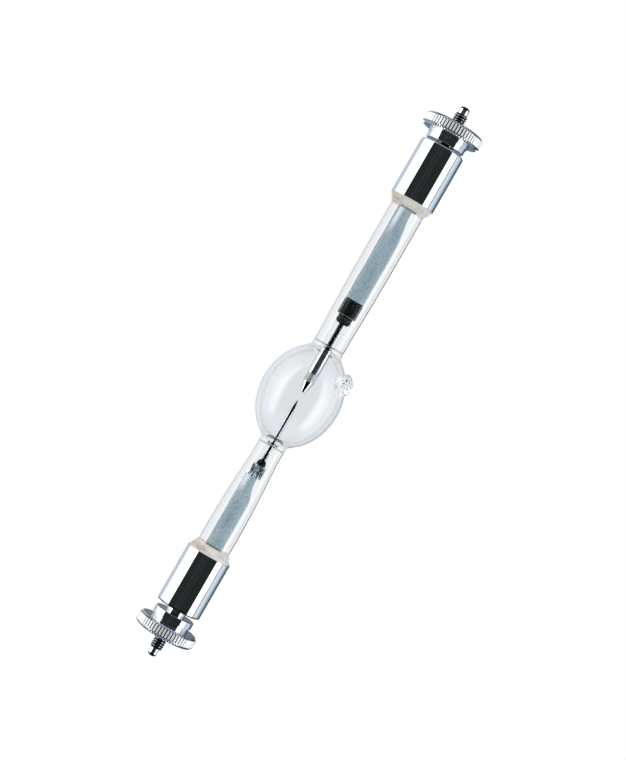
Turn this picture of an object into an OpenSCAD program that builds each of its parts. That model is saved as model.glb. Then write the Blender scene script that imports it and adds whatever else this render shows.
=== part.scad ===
// Short-arc xenon lamp: a quartz bulb on two fused quartz shafts, with a metal cap, a
// threaded stud, a washer and a knurled nut at each end.
// The origin is the centre of the lower cap's outer end face. +Z runs along the lamp,
// from the cathode end at the bottom to the anode end at the top. Lengths are millimetres.

/* [Lamp] */
// Distance between the outer end faces of the two caps
cap_span = 302.8; // [292:0.2:316]
// Height of the bulb's centre, which is also the arc's, above the lower cap's end face
bulb_z = 139.6; // [134:0.2:146]

/* [Bulb] */
// Outer diameter of the bulb at its widest
bulb_d = 47.5; // [42:0.5:54]
// Length of the bulb's ellipsoid along the lamp
bulb_len = 61; // [57:0.5:66]
// Thickness of the bulb's wall
bulb_wall = 2.6; // [1.8:0.1:3.6]
// Distance from the bulb's centre to the fused line at each neck
neck_h = 32.8; // [31.5:0.1:37]
// Width of the fused line at each neck
neck_line_w = 0.8; // [0.4:0.1:1.4]
// Depth of the fused line at each neck
neck_line_depth = 0.3; // [0.1:0.05:0.6]
// Outer diameter of the upper neck
upper_neck_d = 18.9; // [17:0.1:20.5]
// Outer diameter of the lower neck
lower_neck_d = 16.2; // [14.5:0.1:19]
// Sharpness of the fillet where the bulb's outside runs into its necks
neck_blend = 4; // [3:0.5:8]
// Sharpness of the fillet where the bulb's hollow runs into its throats
throat_blend = 3; // [2.5:0.5:8]

/* [Sealed-off exhaust tip] */
// Direction of the tip, turned from +X towards the front
nub_turn = 35; // [0:1:80]
// Height of the tip's root above the bulb's centre
nub_rise = 17; // [8:0.5:20]
// Slope of the tip, up from the horizontal
nub_slope = 28; // [10:1:50]
// Diameter of the tip's root at the bulb
nub_root_d = 9.6; // [7:0.2:12]
// Diameter of the tip's largest lump
nub_lump_d = 7.4; // [5:0.2:9]
// How far the middle of the largest lump stands from the bulb's surface
nub_reach = 4.4; // [3:0.1:6]

/* [Shafts] */
// Room for cement between the upper shaft and the inside of its cap
upper_cement_t = 2.15; // [1.4:0.05:2.8]
// Room for cement between the lower shaft and the inside of its cap
lower_cement_t = 2.35; // [1.4:0.05:2.8]
// Straight length of each neck between its fused line and where the shaft begins to widen
neck_run = 7.2; // [2:0.2:20]
// Length over which each shaft widens to its full diameter
flare_len = 50; // [30:1:55]
// Distance from a cap's outer end face to the end of its quartz shaft
shaft_seat = 9.8; // [8:0.2:14]

/* [Electrodes] */
// Gap between the tips of the anode and the cathode
arc_gap = 5.5; // [3:0.1:7]
// Distance from the anode's back to the fused line at the upper neck
anode_back_gap = 1.35; // [0.9:0.05:4]
// Diameter of the anode
anode_d = 6.8; // [5.5:0.1:9]
// Length of the anode's conical tip
anode_cone_len = 6.6; // [4:0.1:9]
// Diameter of the flat end of the anode's cone
anode_end_d = 2; // [1:0.1:3]
// Length of the ground band behind the cone
anode_band_len = 5.1; // [2:0.1:8]
// Depth of the ground band
anode_band_depth = 0.12; // [0.05:0.01:0.3]
// Length of the shoulder at the anode's back
anode_back_len = 2.4; // [1:0.1:4]
// Diameter of the tungsten rod that carries the anode
anode_rod_d = 2.9; // [2:0.1:3.6]
// Diameter of the cathode
cathode_d = 2.6; // [2:0.1:2.9]
// Length of the cathode's pointed tip
cathode_point_len = 8.5; // [4:0.1:12]
// Depth to which a rod is set into the piece that carries it
rod_socket = 2.4; // [1:0.1:3]
// Room between the anode and the throat of the bulb's upper neck
anode_room = 0.8; // [0.4:0.1:2]
// Room between the cathode and the throat of the bulb's lower neck
cathode_room = 1.6; // [0.6:0.1:2.6]
// Length of the step at the bottom of each throat
throat_step_len = 0.8; // [0.3:0.1:1.2]
// Length of the rod's bore between the upper neck's fused line and the upper holder
upper_rod_run = 14.4; // [8:0.2:20]
// Length of the cathode's bore between the lower neck's fused line and the lower holder
lower_rod_run = 8.8; // [5:0.2:14]
// Room between the anode's rod and the quartz round it
upper_rod_room = 1.2; // [0.6:0.05:1.6]
// Room between the cathode and the quartz round it
lower_rod_room = 0.45; // [0.2:0.05:0.7]

/* [Seals] */
// Distance from a cap's mouth to the near end of its foil
foil_clear = 5.3; // [4:0.1:8]
// Outer diameter of the upper foil
upper_foil_d = 7.8; // [6.4:0.1:9]
// Outer diameter of the lower foil
lower_foil_d = 7.3; // [6.6:0.1:9]
// Thickness of the foils
foil_t = 0.15; // [0.08:0.01:0.3]
// Width of the open seam where a rolled foil's edges meet
foil_seam = 0.5; // [0.2:0.1:1.2]
// Thickness of the disc at the outer end of each foil
disc_t = 2; // [1:0.1:3]
// Diameter of the lead from each seal to its stud
lead_d = 3; // [2:0.1:4]
// Length of the dark plug below the upper foil
plug_len = 10; // [8:0.1:12]
// Diameter of the dark plug
plug_d = 8; // [7:0.1:9.4]
// Radius of the plug's upper edge
plug_edge_r = 0.9; // [0.4:0.1:1.4]
// Length of the upper holder, between the plug and the anode's rod
upper_holder_len = 5.1; // [4:0.1:6.5]
// Diameter of the upper holder
upper_holder_d = 6.1; // [5.4:0.1:6.9]
// Radius of the upper holder's lower edge
upper_holder_edge_r = 1.7; // [0.8:0.1:1.9]
// Length of the crimped cup between the lower foil and the lower holder
cup_len = 7.6; // [5:0.1:8.6]
// Diameter of the crimped cup
cup_d = 5.9; // [5:0.1:6.5]
// Thickness of the cup's wall
cup_wall = 0.45; // [0.3:0.05:0.7]
// Depth of the cup's crimps
crimp_depth = 0.35; // [0.1:0.05:0.5]
// Number of crimps round the cup
crimp_count = 12; // [8:1:16]
// Length of the domed lower holder
lower_holder_len = 4; // [3:0.1:5]
// Diameter of the domed lower holder
lower_holder_d = 4.2; // [3.6:0.1:4.8]

/* [Caps] */
// Outer diameter of each cap
cap_d = 27; // [25.4:0.1:30]
// Length of each cap, from its mouth to its outer end face
cap_len = 35.6; // [32:0.2:40]
// Thickness of a cap's side wall
cap_wall = 1.1; // [0.7:0.1:1.6]
// Thickness of a cap's end wall
cap_end_t = 3; // [2:0.1:4]
// Radius of the rounded edge at a cap's outer end
cap_edge_r = 1.7; // [0.6:0.1:2.6]
// Chamfer at a cap's mouth
cap_mouth_chamfer = 0.3; // [0.1:0.05:0.5]
// Diameter of the boss on each cap's end, which the washer rests on
boss_d = 11.2; // [10.4:0.1:14]
// Height of the upper cap's boss
upper_boss_h = 1.4; // [0.6:0.1:4]
// Height of the lower cap's boss
lower_boss_h = 3.3; // [0.6:0.1:4]
// Depth to which the cement fills each cap
cement_depth = 23; // [16:0.5:24]
// Length of the cement's slope outside the mouth
cement_slope_len = 5.2; // [3:0.1:5.3]
// Thickness of the cement's thin edge on the quartz
cement_lip = 0.3; // [0.1:0.05:0.6]

/* [Studs] */
// Outer diameter of each stud's thread
stud_d = 8; // [6:0.1:10]
// Length of the upper stud from the cap's end face to the end of its thread
upper_stud_len = 21.8; // [20:0.1:26]
// Length of the lower stud from the cap's end face to the end of its thread
lower_stud_len = 25.9; // [23:0.1:30]
// Diameter of the head that holds the stud inside its cap
stud_head_d = 14; // [12:0.2:20]
// Thickness of the stud's head
stud_head_t = 2.5; // [1.5:0.1:4]
// Chamfer at the end of the stud's thread
stud_chamfer = 0.7; // [0.3:0.05:1]
// Diameter of the plain tip on the upper stud
upper_tip_d = 5.8; // [4.2:0.1:6.4]
// Length of the straight part of the upper tip
upper_tip_len = 3.4; // [2.4:0.1:5]
// Diameter of the plain tip on the lower stud
lower_tip_d = 5.1; // [4.2:0.1:6.4]
// Length of the straight part of the lower tip
lower_tip_len = 3.8; // [2.4:0.1:5]
// Height of the rounded point on each tip
tip_point_h = 1.4; // [0.8:0.1:2]

/* [Washers and nuts] */
// Diameter of the upper washer
upper_washer_d = 23.8; // [18:0.2:27]
// Thickness of the upper washer
upper_washer_t = 3.5; // [2:0.1:4.5]
// Diameter of the lower washer
lower_washer_d = 24.2; // [18:0.2:27]
// Thickness of the lower washer
lower_washer_t = 3.9; // [2:0.1:4.5]
// Radius of a washer's edge on the side of its cap
washer_edge_r = 0.9; // [0.3:0.1:1]
// Diameter of the upper nut's hub
upper_hub_d = 24.8; // [18:0.2:27]
// Height of the upper nut's hub
upper_hub_h = 2.3; // [1.5:0.1:4]
// Diameter of the lower nut's hub
lower_hub_d = 22.6; // [18:0.2:27]
// Height of the lower nut's hub
lower_hub_h = 2.8; // [1.5:0.1:4]
// Diameter of the knurled rim over its teeth
rim_d = 36.8; // [33:0.2:42]
// Width of the knurled rim
rim_w = 7.4; // [5:0.1:9]
// Number of teeth round the rim
tooth_count = 60; // [48:1:72]
// Depth of the grooves between the teeth
tooth_depth = 0.8; // [0.4:0.05:1.1]
// Share of each tooth's pitch that its flat top takes
tooth_top_share = 0.42; // [0.3:0.02:0.6]
// Share of each tooth's pitch that the flat floor of a groove takes
tooth_floor_share = 0.2; // [0.1:0.02:0.3]
// Chamfer on the edges of the rim
rim_chamfer = 0.6; // [0.3:0.05:1.2]
// Running clearance between a stud and the bores of its washer and nut
bore_clear = 0.05; // [0.02:0.01:0.1]
// Chamfer at the ends of the bores
bore_chamfer = 0.6; // [0.2:0.05:1]

/* [Hidden] */
$fn = 96;

// Semi-axes of the bulb outside and inside
bulb_r = bulb_d / 2;
bulb_h = bulb_len / 2;
hollow_r = bulb_r - bulb_wall;
hollow_h = bulb_h - bulb_wall;

// Diameters of the shafts at their caps
cap_bore_d = cap_d - 2 * cap_wall;
upper_shaft_d = cap_bore_d - 2 * upper_cement_t;
lower_shaft_d = cap_bore_d - 2 * lower_cement_t;

// Distances from the bulb's centre at which each shaft begins to widen and has its full size
flare_start = neck_h + neck_run;
flare_end = flare_start + flare_len;

// Levels of the caps and of the quartz
upper_mouth_z = cap_span - cap_len;
lower_mouth_z = cap_len;
quartz_top_z = cap_span - shaft_seat;
quartz_low_z = shaft_seat;

// Levels of the upper electrode and seal, from the tip upwards
anode_tip_z = bulb_z + arc_gap / 2;
anode_back_z = bulb_z + neck_h - anode_back_gap;
upper_holder_low_z = bulb_z + neck_h + upper_rod_run;
plug_low_z = upper_holder_low_z + upper_holder_len;
upper_foil_low_z = plug_low_z + plug_len;
upper_foil_top_z = upper_mouth_z - foil_clear;
upper_disc_top_z = upper_foil_top_z + disc_t;

// Levels of the lower electrode and seal, from the tip downwards
cathode_tip_z = bulb_z - arc_gap / 2;
lower_holder_top_z = bulb_z - neck_h - lower_rod_run;
cup_top_z = lower_holder_top_z - lower_holder_len;
lower_foil_top_z = cup_top_z - cup_len;
lower_foil_low_z = lower_mouth_z + foil_clear;
lower_disc_low_z = lower_foil_low_z - disc_t;

// Radii of the quartz bore along the lamp
upper_throat_r = anode_d / 2 + anode_room;
lower_throat_r = cathode_d / 2 + cathode_room;
upper_rod_bore_r = anode_rod_d / 2 + upper_rod_room;
lower_rod_bore_r = cathode_d / 2 + lower_rod_room;
lead_r = lead_d / 2;

// A bulb's outline is stepped by this angle, and a rounded edge by a quarter turn in six
bulb_step = 5;
edge_steps = 6;

// Half-width of an ellipse of semi-axes r and h, at the distance s from its centre
function ellipse_r(r, h, s) = s < h ? r * sqrt(1 - pow(s / h, 2)) : 0;

// The larger of two radii, with a fillet where they are alike
function blended(a, b, sharpness) = pow(pow(a, sharpness) + pow(b, sharpness), 1 / sharpness);

// Radius of a shaft at the distance s from the bulb's centre: it swells from the neck
// to its full size along a quarter of a sine wave
function shaft_r(neck_d, full_d, s) = (neck_d + (full_d - neck_d)
    * sin(90 * max(0, min(1, (s - flare_start) / (flare_end - flare_start))))) / 2;

// Outer radius of the quartz at the distance s from the bulb's centre
function quartz_r(neck_d, full_d, s) =
    blended(ellipse_r(bulb_r, bulb_h, s), shaft_r(neck_d, full_d, s), neck_blend);

// Inner radius of the bulb at the distance s from its centre, running into a neck's throat
function hollow_at(throat_r, s) =
    blended(ellipse_r(hollow_r, hollow_h, s), throat_r, throat_blend);

// Distances from the bulb's centre at which half of its outline has a point: closer together
// towards the end, where the bulb turns into its neck
function steps_to(end) = [for (a = [bulb_step:bulb_step:90]) end * sin(a)];
outline_steps = steps_to(neck_h - neck_line_w / 2);
hollow_steps = steps_to(neck_h - throat_step_len);
flare_steps = [for (k = [0:8]) flare_start + flare_len * k / 8];

// Half of the quartz outline as [radius, distance], from the bulb's middle to the shaft's end
function half_outline(neck_d, full_d, end) = concat(
    [for (s = outline_steps) [quartz_r(neck_d, full_d, s), s]],
    [[quartz_r(neck_d, full_d, neck_h) - neck_line_depth, neck_h],
     [quartz_r(neck_d, full_d, neck_h), neck_h + neck_line_w / 2]],
    [for (s = flare_steps) [shaft_r(neck_d, full_d, s), s]],
    [[full_d / 2, end]]);

// Half of the bulb's hollow as [radius, distance], down the throat to the rod's bore
function half_hollow(throat_r, bore_r) = concat(
    [for (s = hollow_steps) [hollow_at(throat_r, s), s]],
    [[bore_r, neck_h]]);

// A list turned end for end
function turned(list) = [for (k = [len(list) - 1:-1:0]) list[k]];

// Points of a rounded outer edge: a quarter circle of radius r inside the corner
// [corner_r, corner_z], from the side to the end face. The face looks up where up is 1
// and down where it is -1.
function edge_arc(corner_r, corner_z, r, up) = [for (k = [0:edge_steps])
    [corner_r - r + r * cos(90 * k / edge_steps),
     corner_z - up * r + up * r * sin(90 * k / edge_steps)]];

// Turns a profile of [radius, z] points into a solid
module turned_solid(points) {
    rotate_extrude() polygon(points);
}

// A plain turned rod between two levels
module rod(d, low, high) {
    translate([0, 0, low]) cylinder(d = d, h = high - low);
}

// Quartz: one blown and fused body
module quartz_envelope() {
    color([0.86, 0.9, 0.94, 0.4]) {
        difference() {
            turned_solid(quartz_outline());
            turned_solid(quartz_bore());
        }
        exhaust_tip();
    }
}

function quartz_outline() = concat(
    [[0, quartz_low_z]],
    turned([for (p = half_outline(lower_neck_d, lower_shaft_d, bulb_z - quartz_low_z))
        [p[0], bulb_z - p[1]]]),
    [[blended(bulb_r, upper_neck_d / 2, neck_blend), bulb_z]],
    [for (p = half_outline(upper_neck_d, upper_shaft_d, quartz_top_z - bulb_z))
        [p[0], bulb_z + p[1]]],
    [[0, quartz_top_z]]);

// The hollow of the bulb, the rods' bores and the room that each seal's pieces fill
function quartz_bore() = concat(
    [[0, quartz_low_z - 1], [lead_r, quartz_low_z - 1], [lead_r, lower_disc_low_z],
     [lower_foil_d / 2, lower_disc_low_z], [lower_foil_d / 2, lower_foil_top_z],
     [cup_d / 2, lower_foil_top_z], [cup_d / 2, cup_top_z],
     [lower_holder_d / 2, cup_top_z], [lower_holder_d / 2, lower_holder_top_z],
     [lower_rod_bore_r, lower_holder_top_z]],
    turned([for (p = half_hollow(lower_throat_r, lower_rod_bore_r)) [p[0], bulb_z - p[1]]]),
    [[blended(hollow_r, upper_throat_r, throat_blend), bulb_z]],
    [for (p = half_hollow(upper_throat_r, upper_rod_bore_r)) [p[0], bulb_z + p[1]]],
    [[upper_rod_bore_r, upper_holder_low_z], [upper_holder_d / 2, upper_holder_low_z],
     [upper_holder_d / 2, plug_low_z], [plug_d / 2, plug_low_z],
     [plug_d / 2, upper_foil_low_z], [upper_foil_d / 2, upper_foil_low_z],
     [upper_foil_d / 2, upper_disc_top_z], [lead_r, upper_disc_top_z],
     [lead_r, quartz_top_z + 1], [0, quartz_top_z + 1]]);

// The lumpy tip where the filled bulb was melted shut
module exhaust_tip() {
    root_r = ellipse_r(bulb_r, bulb_h, nub_rise);
    lump = nub_lump_d / 2;
    rotate([0, 0, -nub_turn]) translate([root_r, 0, bulb_z + nub_rise])
        rotate([0, 90 - nub_slope, 0]) {
            translate([0, 0, -bulb_wall / 2])
                cylinder(d1 = nub_root_d, d2 = nub_lump_d * 0.8, h = nub_reach + bulb_wall / 2);
            translate([0, 0, nub_reach]) sphere(r = lump);
            translate([lump * 0.9, lump * 0.2, nub_reach * 0.6]) sphere(r = lump * 0.9);
            translate([-lump * 0.7, -lump * 0.3, nub_reach + lump * 0.2]) sphere(r = lump * 0.7);
        }
}

// Turned tungsten anode with its ground band and its socket for the rod
module anode() {
    r = anode_d / 2;
    cone_z = anode_tip_z + anode_cone_len;
    band_z = cone_z + anode_band_len;
    band_r = r - anode_band_depth;
    shoulder_z = anode_back_z - anode_back_len;
    end_r = anode_end_d / 2;
    color([0.3, 0.33, 0.34]) difference() {
        turned_solid([[0, anode_tip_z], [end_r * 0.7, anode_tip_z],
            [end_r, anode_tip_z + end_r * 0.3], [band_r, cone_z], [band_r, band_z],
            [r, band_z], [r, shoulder_z],
            [anode_rod_d / 2 + 0.4, anode_back_z], [0, anode_back_z]]);
        rod(anode_rod_d, anode_back_z - rod_socket, anode_back_z + 1);
    }
}

module anode_rod() {
    color([0.25, 0.28, 0.28])
        rod(anode_rod_d, anode_back_z - rod_socket, upper_holder_low_z + rod_socket);
}

// Cathode: a straight rod whose point narrows along a slightly swollen curve
module cathode() {
    r = cathode_d / 2;
    low = lower_holder_top_z - rod_socket;
    shoulder_z = cathode_tip_z - cathode_point_len;
    steps = 8;
    color([0.25, 0.28, 0.28]) turned_solid(concat([[0, low], [r, low]],
        [for (k = [0:steps - 1])
            [r * pow(1 - k / steps, 0.8), shoulder_z + cathode_point_len * k / steps]],
        [[r * 0.08, cathode_tip_z], [0, cathode_tip_z]]));
}

// Holder with a rounded shoulder below and a turned groove round its waist
module upper_holder() {
    r = upper_holder_d / 2;
    e = upper_holder_edge_r;
    groove_z = plug_low_z - upper_holder_len * 0.35;
    color([0.2, 0.22, 0.22]) difference() {
        turned_solid(concat([[0, upper_holder_low_z]],
            turned(edge_arc(r, upper_holder_low_z, e, -1)),
            [[r, groove_z - 0.3], [r - 0.15, groove_z], [r, groove_z + 0.3],
             [r, plug_low_z], [0, plug_low_z]]));
        rod(anode_rod_d, upper_holder_low_z - 1, upper_holder_low_z + rod_socket);
    }
}

// Plug that the foil is welded to, with its upper edge rounded
module upper_plug() {
    color([0.16, 0.18, 0.18]) turned_solid(concat(
        [[0, plug_low_z], [plug_d / 2 - 0.2, plug_low_z], [plug_d / 2, plug_low_z + 0.4]],
        edge_arc(plug_d / 2, upper_foil_low_z, plug_edge_r, 1),
        [[0, upper_foil_low_z]]));
}

module core(foil_d, low, high) {
    color([0.88, 0.92, 0.95, 0.5]) rod(foil_d - 2 * foil_t, low, high);
}

// Sheet rolled round a quartz core, with an open seam at the back
module foil(d, low, high) {
    color([0.56, 0.65, 0.7]) difference() {
        rod(d, low, high);
        rod(d - 2 * foil_t, low - 1, high + 1);
        translate([-foil_seam / 2, 0, low - 1]) cube([foil_seam, d, high - low + 2]);
    }
}

module upper_core() { core(upper_foil_d, upper_foil_low_z, upper_foil_top_z); }
module lower_core() { core(lower_foil_d, lower_foil_low_z, lower_foil_top_z); }
module upper_foil() { foil(upper_foil_d, upper_foil_low_z, upper_foil_top_z); }
module lower_foil() { foil(lower_foil_d, lower_foil_low_z, lower_foil_top_z); }

module upper_disc() {
    color([0.3, 0.33, 0.35]) rod(upper_foil_d, upper_foil_top_z, upper_disc_top_z);
}

module lower_disc() {
    color([0.3, 0.33, 0.35]) rod(lower_foil_d, lower_disc_low_z, lower_foil_low_z);
}

module upper_lead() {
    color([0.6, 0.5, 0.42]) rod(lead_d, upper_disc_top_z, cap_span - cap_end_t - stud_head_t);
}

module lower_lead() {
    color([0.6, 0.5, 0.42]) rod(lead_d, cap_end_t + stud_head_t, lower_disc_low_z);
}

// Holder with a domed top that the cathode stands in
module lower_holder() {
    r = lower_holder_d / 2;
    dome_h = min(r, lower_holder_len * 0.75);
    steps = 7;
    color([0.2, 0.22, 0.22]) difference() {
        turned_solid(concat([[0, cup_top_z], [r, cup_top_z]],
            [for (k = [0:steps]) [r * cos(78 * k / steps),
                lower_holder_top_z - dome_h + dome_h * sin(78 * k / steps) / sin(78)]],
            [[0, lower_holder_top_z]]));
        rod(cathode_d, lower_holder_top_z - rod_socket, lower_holder_top_z + 1);
    }
}

// Thin cup crimped all round onto the core's end
module lower_cup() {
    r = cup_d / 2 - crimp_depth / 2;
    wave = crimp_depth / 2;
    count = crimp_count * 6;
    color([0.5, 0.58, 0.62]) difference() {
        translate([0, 0, lower_foil_top_z]) linear_extrude(cup_len)
            polygon([for (k = [0:count - 1]) let (a = 360 * k / count)
                (r + wave * cos(crimp_count * a)) * [cos(a), sin(a)]]);
        rod(cup_d - 2 * (crimp_depth + cup_wall), lower_foil_top_z - 1, cup_top_z - cup_wall);
    }
}

// Turned cap: a sleeve with an end wall, a boss on it and a hole for the stud.
// It is drawn with its outer end face at zero and its mouth up.
module cap(boss_h) {
    r = cap_d / 2;
    inner_r = cap_bore_d / 2;
    c = cap_mouth_chamfer;
    turned_solid(concat(
        [[stud_d / 2, -boss_h], [boss_d / 2, -boss_h], [boss_d / 2, 0]],
        turned(edge_arc(r, 0, cap_edge_r, -1)),
        [[r, cap_len - c], [r - c, cap_len], [inner_r, cap_len],
         [inner_r, cap_end_t], [stud_d / 2, cap_end_t]]));
}

// Cement between a cap and its shaft, sloping down to the quartz outside the mouth
module cement(shaft_d) {
    inner_r = cap_bore_d / 2;
    turned_solid([[shaft_d / 2, cap_len - cement_depth], [inner_r, cap_len - cement_depth],
        [inner_r, cap_len], [shaft_d / 2 + cement_lip, cap_len + cement_slope_len],
        [shaft_d / 2, cap_len + cement_slope_len]]);
}

// Stud with its head inside the cap, a plain shank for the thread and a pointed tip
module stud(length, tip_d, tip_len) {
    r = stud_d / 2;
    tip_r = tip_d / 2;
    steps = 6;
    turned_solid(concat(
        [[0, cap_end_t + stud_head_t], [0, -length - tip_len - tip_point_h]],
        [for (k = [1:steps]) [tip_r * sin(90 * k / steps),
            -length - tip_len - tip_point_h * cos(90 * k / steps)]],
        [[tip_r, -length], [r - stud_chamfer, -length], [r, -length + stud_chamfer],
         [r, cap_end_t], [stud_head_d / 2, cap_end_t],
         [stud_head_d / 2, cap_end_t + stud_head_t]]));
}

// Washer drawn from its cap side at zero downwards
module washer(d, t) {
    r = d / 2;
    e = washer_edge_r;
    bore_r = stud_d / 2 + bore_clear;
    turned_solid(concat(
        [[bore_r, 0]],
        turned(edge_arc(r, 0, e, 1)),
        [[r, -t + 0.2], [r - 0.2, -t], [bore_r, -t]]));
}

// Outline of the knurled rim: teeth with flat tops and sloping sides
function rim_outline() = [for (k = [0:tooth_count - 1]) let (
        pitch = 360 / tooth_count,
        top = pitch * tooth_top_share / 2,
        floor_half = pitch * tooth_floor_share / 2,
        r = rim_d / 2,
        root = r - tooth_depth)
    each [for (p = [[r, -top], [r, top],
            [root, pitch / 2 - floor_half], [root, pitch / 2 + floor_half]])
        p[0] * [cos(k * pitch + p[1]), sin(k * pitch + p[1])]]];

// Nut drawn from its washer side at zero downwards: a plain hub, then the knurled rim
module nut(hub_d, hub_h) {
    r = rim_d / 2;
    c = rim_chamfer;
    low = -hub_h - rim_w;
    bore_r = stud_d / 2 + bore_clear;
    difference() {
        union() {
            translate([0, 0, -hub_h - 1]) cylinder(d = hub_d, h = hub_h + 1);
            intersection() {
                translate([0, 0, low]) linear_extrude(rim_w) polygon(rim_outline());
                turned_solid([[0, low], [r - c - tooth_depth, low], [r, low + c + 0.2],
                    [r, -hub_h - c], [r - c, -hub_h], [0, -hub_h]]);
            }
        }
        translate([0, 0, low - 1]) cylinder(r = bore_r, h = hub_h + rim_w + 2);
        translate([0, 0, low - 0.01])
            cylinder(r1 = bore_r + bore_chamfer, r2 = bore_r, h = bore_chamfer);
        translate([0, 0, 0.01 - bore_chamfer])
            cylinder(r1 = bore_r, r2 = bore_r + bore_chamfer, h = bore_chamfer);
    }
}

// Places what is drawn for the lower end at the upper end
module at_upper_end() {
    translate([0, 0, cap_span]) mirror([0, 0, 1]) children();
}

module upper_cap() { color([0.82, 0.84, 0.87]) at_upper_end() cap(upper_boss_h); }
module lower_cap() { color([0.82, 0.84, 0.87]) cap(lower_boss_h); }
module upper_cement() { color([0.85, 0.82, 0.78]) at_upper_end() cement(upper_shaft_d); }
module lower_cement() { color([0.85, 0.82, 0.78]) cement(lower_shaft_d); }

module upper_stud() {
    color([0.7, 0.72, 0.74]) at_upper_end() stud(upper_stud_len, upper_tip_d, upper_tip_len);
}

module lower_stud() {
    color([0.7, 0.72, 0.74]) stud(lower_stud_len, lower_tip_d, lower_tip_len);
}

module upper_washer() {
    color([0.78, 0.8, 0.83]) at_upper_end()
        translate([0, 0, -upper_boss_h]) washer(upper_washer_d, upper_washer_t);
}

module lower_washer() {
    color([0.78, 0.8, 0.83])
        translate([0, 0, -lower_boss_h]) washer(lower_washer_d, lower_washer_t);
}

module upper_nut() {
    color([0.75, 0.77, 0.8]) at_upper_end()
        translate([0, 0, -upper_boss_h - upper_washer_t]) nut(upper_hub_d, upper_hub_h);
}

module lower_nut() {
    color([0.75, 0.77, 0.8])
        translate([0, 0, -lower_boss_h - lower_washer_t]) nut(lower_hub_d, lower_hub_h);
}

quartz_envelope();
anode();
anode_rod();
cathode();
upper_holder();
upper_plug();
upper_core();
upper_foil();
upper_disc();
upper_lead();
lower_holder();
lower_cup();
lower_core();
lower_foil();
lower_disc();
lower_lead();
upper_cap();
upper_cement();
upper_stud();
upper_washer();
upper_nut();
lower_cap();
lower_cement();
lower_stud();
lower_washer();
lower_nut();
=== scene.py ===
"""Short-arc xenon lamp: the looks of its glass, electrodes, caps, studs and knurled nuts.

Lengths in the sizes below are millimetres, along the lamp's axis from the lower cap's
outer end face; meshes are written in metres.
"""
import math

import bmesh
import bpy
import numpy as np
from mathutils import Matrix, Vector


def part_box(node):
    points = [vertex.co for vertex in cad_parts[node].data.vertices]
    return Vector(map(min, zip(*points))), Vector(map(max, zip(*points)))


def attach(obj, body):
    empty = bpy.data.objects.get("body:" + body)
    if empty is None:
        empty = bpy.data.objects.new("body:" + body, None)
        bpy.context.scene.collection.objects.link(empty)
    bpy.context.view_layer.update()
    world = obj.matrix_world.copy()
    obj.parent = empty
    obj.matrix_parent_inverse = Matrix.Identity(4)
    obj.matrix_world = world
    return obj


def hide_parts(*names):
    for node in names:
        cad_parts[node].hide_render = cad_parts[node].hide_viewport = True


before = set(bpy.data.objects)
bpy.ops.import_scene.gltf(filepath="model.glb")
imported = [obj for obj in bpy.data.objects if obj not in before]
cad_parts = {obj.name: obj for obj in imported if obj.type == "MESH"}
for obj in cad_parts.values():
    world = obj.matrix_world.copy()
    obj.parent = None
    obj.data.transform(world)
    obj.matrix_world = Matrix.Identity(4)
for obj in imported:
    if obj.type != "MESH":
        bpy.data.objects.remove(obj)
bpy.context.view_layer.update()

MM = 0.001
TURN = 2 * np.pi


def ends(node):
    """Lowest and highest level of a CAD node, in millimetres."""
    low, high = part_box(node)
    return low.z / MM, high.z / MM


def radius(node):
    """Outer radius of a round CAD node, in millimetres."""
    low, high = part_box(node)
    return (high.x - low.x) / 2 / MM


# ---------------------------------------------------------------- sizes of the real lamp
BULB_Z = 139.6                           # level of the bulb's centre
BULB_R, BULB_H = 23.75, 30.5             # semi-axes of the bulb across and along the lamp
BULB_WALL = 2.6
NECK_H = 32.8                            # from the bulb's centre to each fused line
NECK_LINE_W, NECK_LINE_DEPTH = 0.8, 0.3
NECK_BLEND, THROAT_BLEND = 4.0, 3.0
UPPER_NECK_R, LOWER_NECK_R = 9.45, 8.1
UPPER_SHAFT_R, LOWER_SHAFT_R = 10.25, 10.05
FLARE_START, FLARE_END = 40.0, 90.0      # where each shaft swells, from the bulb's centre
UPPER_THROAT_R, LOWER_THROAT_R = 5.8, 2.9
FUNNEL_SLOPE, FUNNEL_END, FUNNEL_DEPTH = 0.6, 32.0, 7.0
UPPER_BORE_R, LOWER_BORE_R = 2.65, 1.75
THROAT_STEP = 0.8
# Levels of the quartz's outline and of its hollow, as spans (from, to, step) that are finest
# at the fused lines and at the hollow's two steps.
FINE_SPANS = ((98, 182, 0.5), (106.2, 107.4, 0.1), (171.8, 173, 0.1))
HOLLOW_SPANS = ((97.3, 106, 1), (106, 109, 0.1), (109, 170, 0.55), (170, 173, 0.1),
                (173, 187.1, 1))
NUB_TURN, NUB_SLOPE = math.radians(35), math.radians(28)     # where the exhaust tip points
NUB_RISE = 17.0                          # from the bulb's centre up to the tip's root
NUB_ROOT_R = 19.72                       # distance of the tip's root from the lamp's axis
LUMP_R = 3.7                             # radius of the tip's largest lump
TIP_HEART = (                            # middle of the exhaust tip's lumps
    (NUB_ROOT_R + 3 * math.cos(NUB_SLOPE)) * math.cos(NUB_TURN),
    -(NUB_ROOT_R + 3 * math.cos(NUB_SLOPE)) * math.sin(NUB_TURN),
    BULB_Z + NUB_RISE + 3 * math.sin(NUB_SLOPE))
ANODE_R, ANODE_CONE, ANODE_BAND, ANODE_BAND_R = 3.4, 6.6, 5.1, 3.28
ANODE_TIP_R, ANODE_SHOULDER, ANODE_BACK_R = 1.3, 0.8, 1.85
ROD_R, CATHODE_R, CATHODE_POINT = 1.45, 1.3, 8.5
UPPER_HOLDER_R, PLUG_R, LOWER_HOLDER_R = 3.05, 4.0, 1.9
DOME_IN, DOME_H = 1.7, 2.1               # how far the upper holder's end is rounded
GROOVE_UP, GROOVE_W, GROOVE_DEPTH = 3.5, 0.7, 0.3        # its groove, from that end
LOWER_SIDE_H = 1.2                       # straight part of the lower holder
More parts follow.
